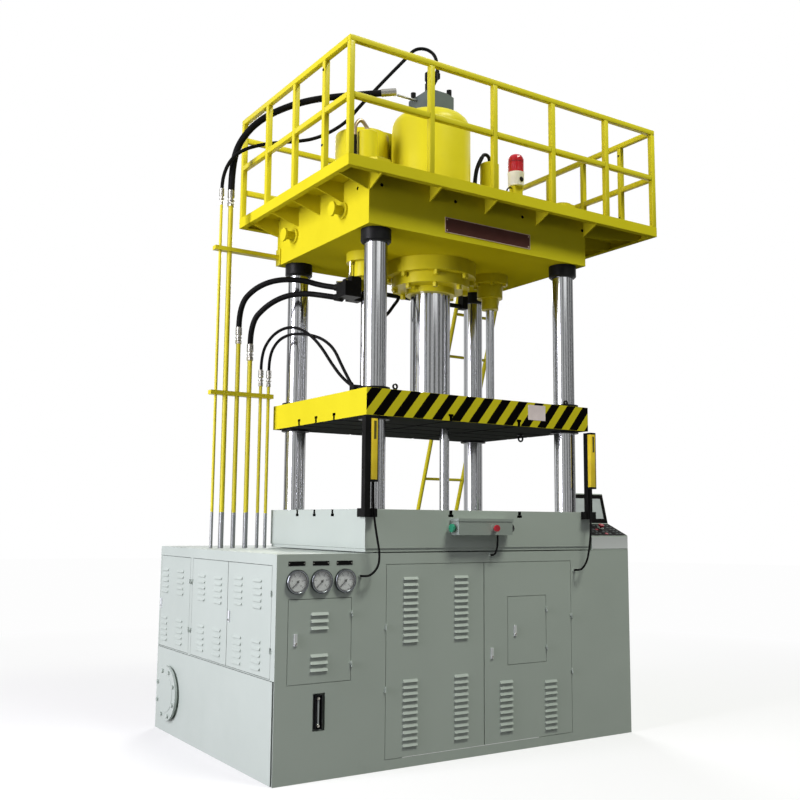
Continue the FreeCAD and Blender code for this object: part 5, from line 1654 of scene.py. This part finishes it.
@dataclass
class Beacon:
    """The warning lamp: stand, white foot with its cable plug, and a ribbed red dome."""

    x: float = 0.585
    y: float = -0.620
    deck: float = 3.465
    stand: Point = (0.037, 0.030, 0.229)
    foot: float = 0.100
    dome: float = 0.130
    ribs: int = 24
    rib_half: float = 0.0014
    core: float = 0.0528

    def build(self, finishes: Finishes) -> None:
        """Makes the lamp.

        Args:
            finishes: all finishes.
        """
        half_x, half_y, height = self.stand
        low = self.deck + height
        base = Shape().block((self.x - half_x, self.y - half_y, self.deck),
                             (self.x + half_x, self.y + half_y, low), 0.003, 2)
        base.turned(((0.0, 0.0), (0.052, 0.0), (0.0545, 0.003), (0.0565, 0.088), (0.058, 0.092),
                     (0.058, 0.099), (0.0, self.foot)), (self.x, self.y, low), steps=48)
        base.disc(0.018, 0.0025, (self.x + 0.004, self.y - 0.0545, low + 0.042), (0.06, -1.0, 0.0), 0.001,
                  24, 1)
        base.piece("lamp_foot", finishes, "lamp_white", "plate_black", "yellow_enamel",
                   replaces=("beacon_base",))
        top = low + self.foot
        dome = Shape().turned(((0.0, 0.0), (0.055, 0.0), (0.055, 0.012), (0.0535, 0.016), (0.0525, 0.096),
                               (0.0495, 0.110), (0.042, 0.122), (0.030, 0.1285), (0.0, self.dome)),
                              (self.x, self.y, top), steps=48)
        for k in range(self.ribs):
            turn = Matrix.Rotation(2 * math.pi * k / self.ribs, 4, "Z")
            dome.block((0.0510, -self.rib_half, 0.016), (0.0542, self.rib_half, 0.100), 0.0006, 0,
                       Matrix.Translation((self.x, self.y, top)) @ turn)
        dome.disc(self.core, 0.038, (self.x, self.y, top + 0.050), round_off=0.010, steps=48, finish=1)
        dome.piece("lamp_dome", finishes, "lamp_red", "lamp_core", replaces=("beacon_dome",))


@dataclass
class Platform:
    """Deck, rail, ladder and lamp."""

    def build(self, finishes: Finishes) -> None:
        """Makes the platform.

        Args:
            finishes: all finishes.
        """
        skin("platform", finishes, "yellow_matt", FINE_EDGE)
        skin("ladder", finishes, "yellow_enamel")
        GuardRail().build(finishes)
        Beacon().build(finishes)


# ---------------------------------------------------------------- pipes
@dataclass
class Pipework:
    """Risers, their unions and ferrules, clamps and junctions."""

    row: float = 0.300
    risers: tuple[tuple[float, float, float], ...] = (
        (-1.207, 0.010, 3.480), (-1.140, 0.017, 3.480), (-1.056, 0.015, 2.549), (-0.970, 0.016, 2.443),
        (-0.886, 0.011, 2.276), (-0.828, 0.011, 2.276))
    link_level: float = 0.016
    link_radius: float = 0.012
    # The loop under the cross pipe, in its plane.
    link: tuple[tuple[float, float], ...] = (
        (0.035, 2.964), (0.026, 2.935), (-0.006, 2.898), (-0.062, 2.820), (-0.120, 2.785), (-0.170, 2.820),
        (-0.198, 2.900), (-0.206, 2.964))
    grooves: int = 4
    groove_pitch: float = 0.0115

    def fitting(self, x: float, radius: float, top: float, shape: Shape) -> None:
        """A union nut and a crimped ferrule.

        Args:
            x: the riser's place along X.
            radius: the riser's radius.
            top: the level of the riser's end.
            shape: the piece in the making.
        """
        shape.turned(((0.0, 0.0), (1.42 * radius, 0.0), (1.5 * radius, 0.002), (1.5 * radius, 0.022),
                      (1.42 * radius, 0.024), (0.0, 0.024)), (x, self.row, top), steps=6)
        sleeve, swell = radius + 0.001, radius + 0.0068
        waist = swell - 0.0018
        outline = [(0.0, 0.023), (sleeve, 0.023), (sleeve, 0.034), (swell, 0.038), (swell, 0.044),
                   (sleeve, 0.046), (sleeve, 0.058), (swell - 0.001, 0.061)]
        for k in range(self.grooves):
            low = 0.065 + self.groove_pitch * k
            outline += [(swell, low), (swell, low + 0.007), (waist, low + 0.0085), (waist, low + 0.0100)]
        outline += [(swell - 0.001, 0.1118), (0.0, 0.1118)]
        shape.turned(outline, (x, self.row, top))

    def build(self, finishes: Finishes) -> None:
        """Makes the pipework.

        Args:
            finishes: all finishes.
        """
        skin("riser_pipes", finishes, "riser_enamel")
        skin("pipe_clamps", finishes, "yellow_enamel", SMALL_EDGE)
        skin("junction_block", finishes, "black_fitting", FINE_EDGE)
        loop = Shape().pipe([(x, self.link_level, z) for x, z in self.link], self.link_radius)
        loop.piece("link_pipe", finishes, "black_fitting")
        ferrules = Shape()
        for x, radius, top in self.risers:
            self.fitting(x, radius, top, ferrules)
        ferrules.piece("hose_ferrules", finishes, "zinc", replaces=("hose_fittings",), corner=50.0)


# ---------------------------------------------------------------- controls
@dataclass
class Controls:
    """Two-hand box, light curtains and the operator's desk."""

    curtain_lefts: tuple[float, ...] = (-0.788, 0.908)
    curtain_width: float = 0.050
    curtain_front: float = -0.975
    curtain_depth: float = 0.034
    curtain_low: float = 1.602
    curtain_high: float = 1.974
    curtain_end: float = 0.012
    curtain_edge: float = 0.006
    desk_left: float = 0.985
    desk_right: float = 1.320
    desk_front: float = -0.895
    screen_length: float = 0.200
    screen_border: float = 0.040
    screen_back: float = 0.2085
    screen_level: float = 1.479
    screen_run: float = 0.053
    screen_rise: float = 0.210
    slope_length: float = 0.190
    slope_back: float = 0.091
    slope_level: float = 1.3345
    slope_run: float = 0.182
    slope_rise: float = 0.079
    plate_level: float = 1.2495
    plate_height: float = 0.078
    gap: float = 0.004  # by how much the slope's and the front's plates are narrower than the desk
    # The keys: columns and rows, spacing, half a key, and the room that the stop button takes.
    keys: tuple[int, int] = (9, 5)
    key_pitch: tuple[float, float] = (0.032, 0.033)
    key_half: tuple[float, float] = (0.010, 0.008)
    red_first: int = 4
    red_every: int = 17
    black_every: int = 3
    stop: tuple[float, float] = (0.0305, 0.027)
    stop_reach: float = 0.034

    def curtain(self, name: str, x: float, finishes: Finishes) -> None:
        """One light curtain: a yellow profile with black back, edge and ends, and its dark strip.

        Args:
            name: the piece's name.
            x: where its left side stands.
            finishes: all finishes.
        """
        front, back = self.curtain_front, self.curtain_front + self.curtain_depth
        low, high, end, edge = self.curtain_low, self.curtain_high, self.curtain_end, self.curtain_edge
        far = x + self.curtain_width
        shape = Shape().block((x + 0.001, front + 0.001, low + end), (far - 0.005, back - 0.005, high - end),
                              0.002)
        shape.block((x, back - edge, low + 0.001), (far, back, high - 0.001), 0.001, 1)
        shape.block((far - edge, front + 0.0005, low + 0.001), (far, back, high - 0.001), 0.001, 1)
        for bottom, top in ((low, low + end), (high - end, high)):
            shape.block((x, front, bottom), (far, back, top), 0.002, 1)
        shape.block((x + 0.020, front + 0.0002, high - 0.130), (x + 0.036, front + 0.0030, high - 0.026),
                    finish=2)
        shape.piece(name, finishes, "curtain_face", "black_fitting", "curtain_strip",
                    replaces=("light_curtains",))

    def keypad(self, pad: Shape, face: Face) -> None:
        """The slope's keys, in rows round the stop button.

        Args:
            pad: the piece in the making.
            face: the slope that they stand on.
        """
        columns, rows = self.keys
        half_x, half_y = self.key_half
        for k in range(columns * rows):
            x = (k % columns - (columns - 1) / 2) * self.key_pitch[0]
            y = (k // columns - (rows - 1) / 2) * self.key_pitch[1]
            if abs(x - self.stop[0]) < self.stop_reach and abs(y - self.stop[1]) < self.stop_reach:
                continue
            tone = 3 if k % self.red_every == self.red_first else 2 if k % self.black_every else 1
            pad.block((x - half_x, y - half_y, 0.0010), (x + half_x, y + half_y, 0.0042), 0.001, tone,
                      face.matrix())

    def desk(self, finishes: Finishes) -> None:
        """The screen, the key slope and the pale front of the desk.

        Args:
            finishes: all finishes.
        """
        skin("console", finishes, "grey_coat", SMALL_EDGE)
        middle = (self.desk_left + self.desk_right) / 2
        width = self.desk_right - self.desk_left
        lean = math.degrees(math.atan2(self.screen_rise, self.screen_run))
        face = Face((middle, self.desk_front + self.screen_back, self.screen_level), lean)
        screen = Shape().plate(width - 0.010, self.screen_length, face, 0.0030, self.screen_border, 0.0015)
        screen.piece("desk_screen", finishes, "keypad_black", "display_grey")
        slope = math.degrees(math.atan2(self.slope_rise, self.slope_run))
        face = Face((middle, self.desk_front + self.slope_back, self.slope_level), slope)
        pad = Shape().plate(width - self.gap, self.slope_length, face, 0.0020, 0.002, 0.0004)
        self.keypad(pad, face)
        pad.piece("desk_keys", finishes, "keypad_black", "keypad_black", "key_grey", "stop_red")
        face = Face((middle, self.desk_front, self.plate_level))
        plate = Shape().plate(width - self.gap, self.plate_height, face, 0.0015, 0.003, 0.0003)
        plate.piece("desk_front_plate", finishes, "pale_coat", "pale_coat")

    def build(self, finishes: Finishes) -> None:
        """Makes the controls.

        Args:
            finishes: all finishes.
        """
        for name, x in zip(("curtain_left", "curtain_right"), self.curtain_lefts):
            self.curtain(name, x, finishes)
        skin("curtain_posts", finishes, "black_fitting", FINE_EDGE)
        skin("control_box", finishes, "control_grey", FINE_EDGE)
        skin("control_stop_button", finishes, "stop_red", FINE_EDGE)
        skin("left_palm_button", finishes, "palm_green", FINE_EDGE)
        skin("right_palm_button", finishes, "palm_black", FINE_EDGE)
        skin("console_stop_button", finishes, "stop_red", FINE_EDGE)
        self.desk(finishes)


def main() -> None:
    """Builds the studio, the hoses and the press, and reports each."""
    logging.basicConfig(level=logging.INFO, format="%(message)s")
    Studio().build()
    finishes = Finishes()
    for part in (Plumbing(), Cabinet(), OilWindow(), Gauges(), Tables(), Head(), Platform(), Pipework(),
                 Controls()):
        part.build(finishes)
        LOG.info("built %s", type(part).__name__)


if __name__ == "__main__":
    main()
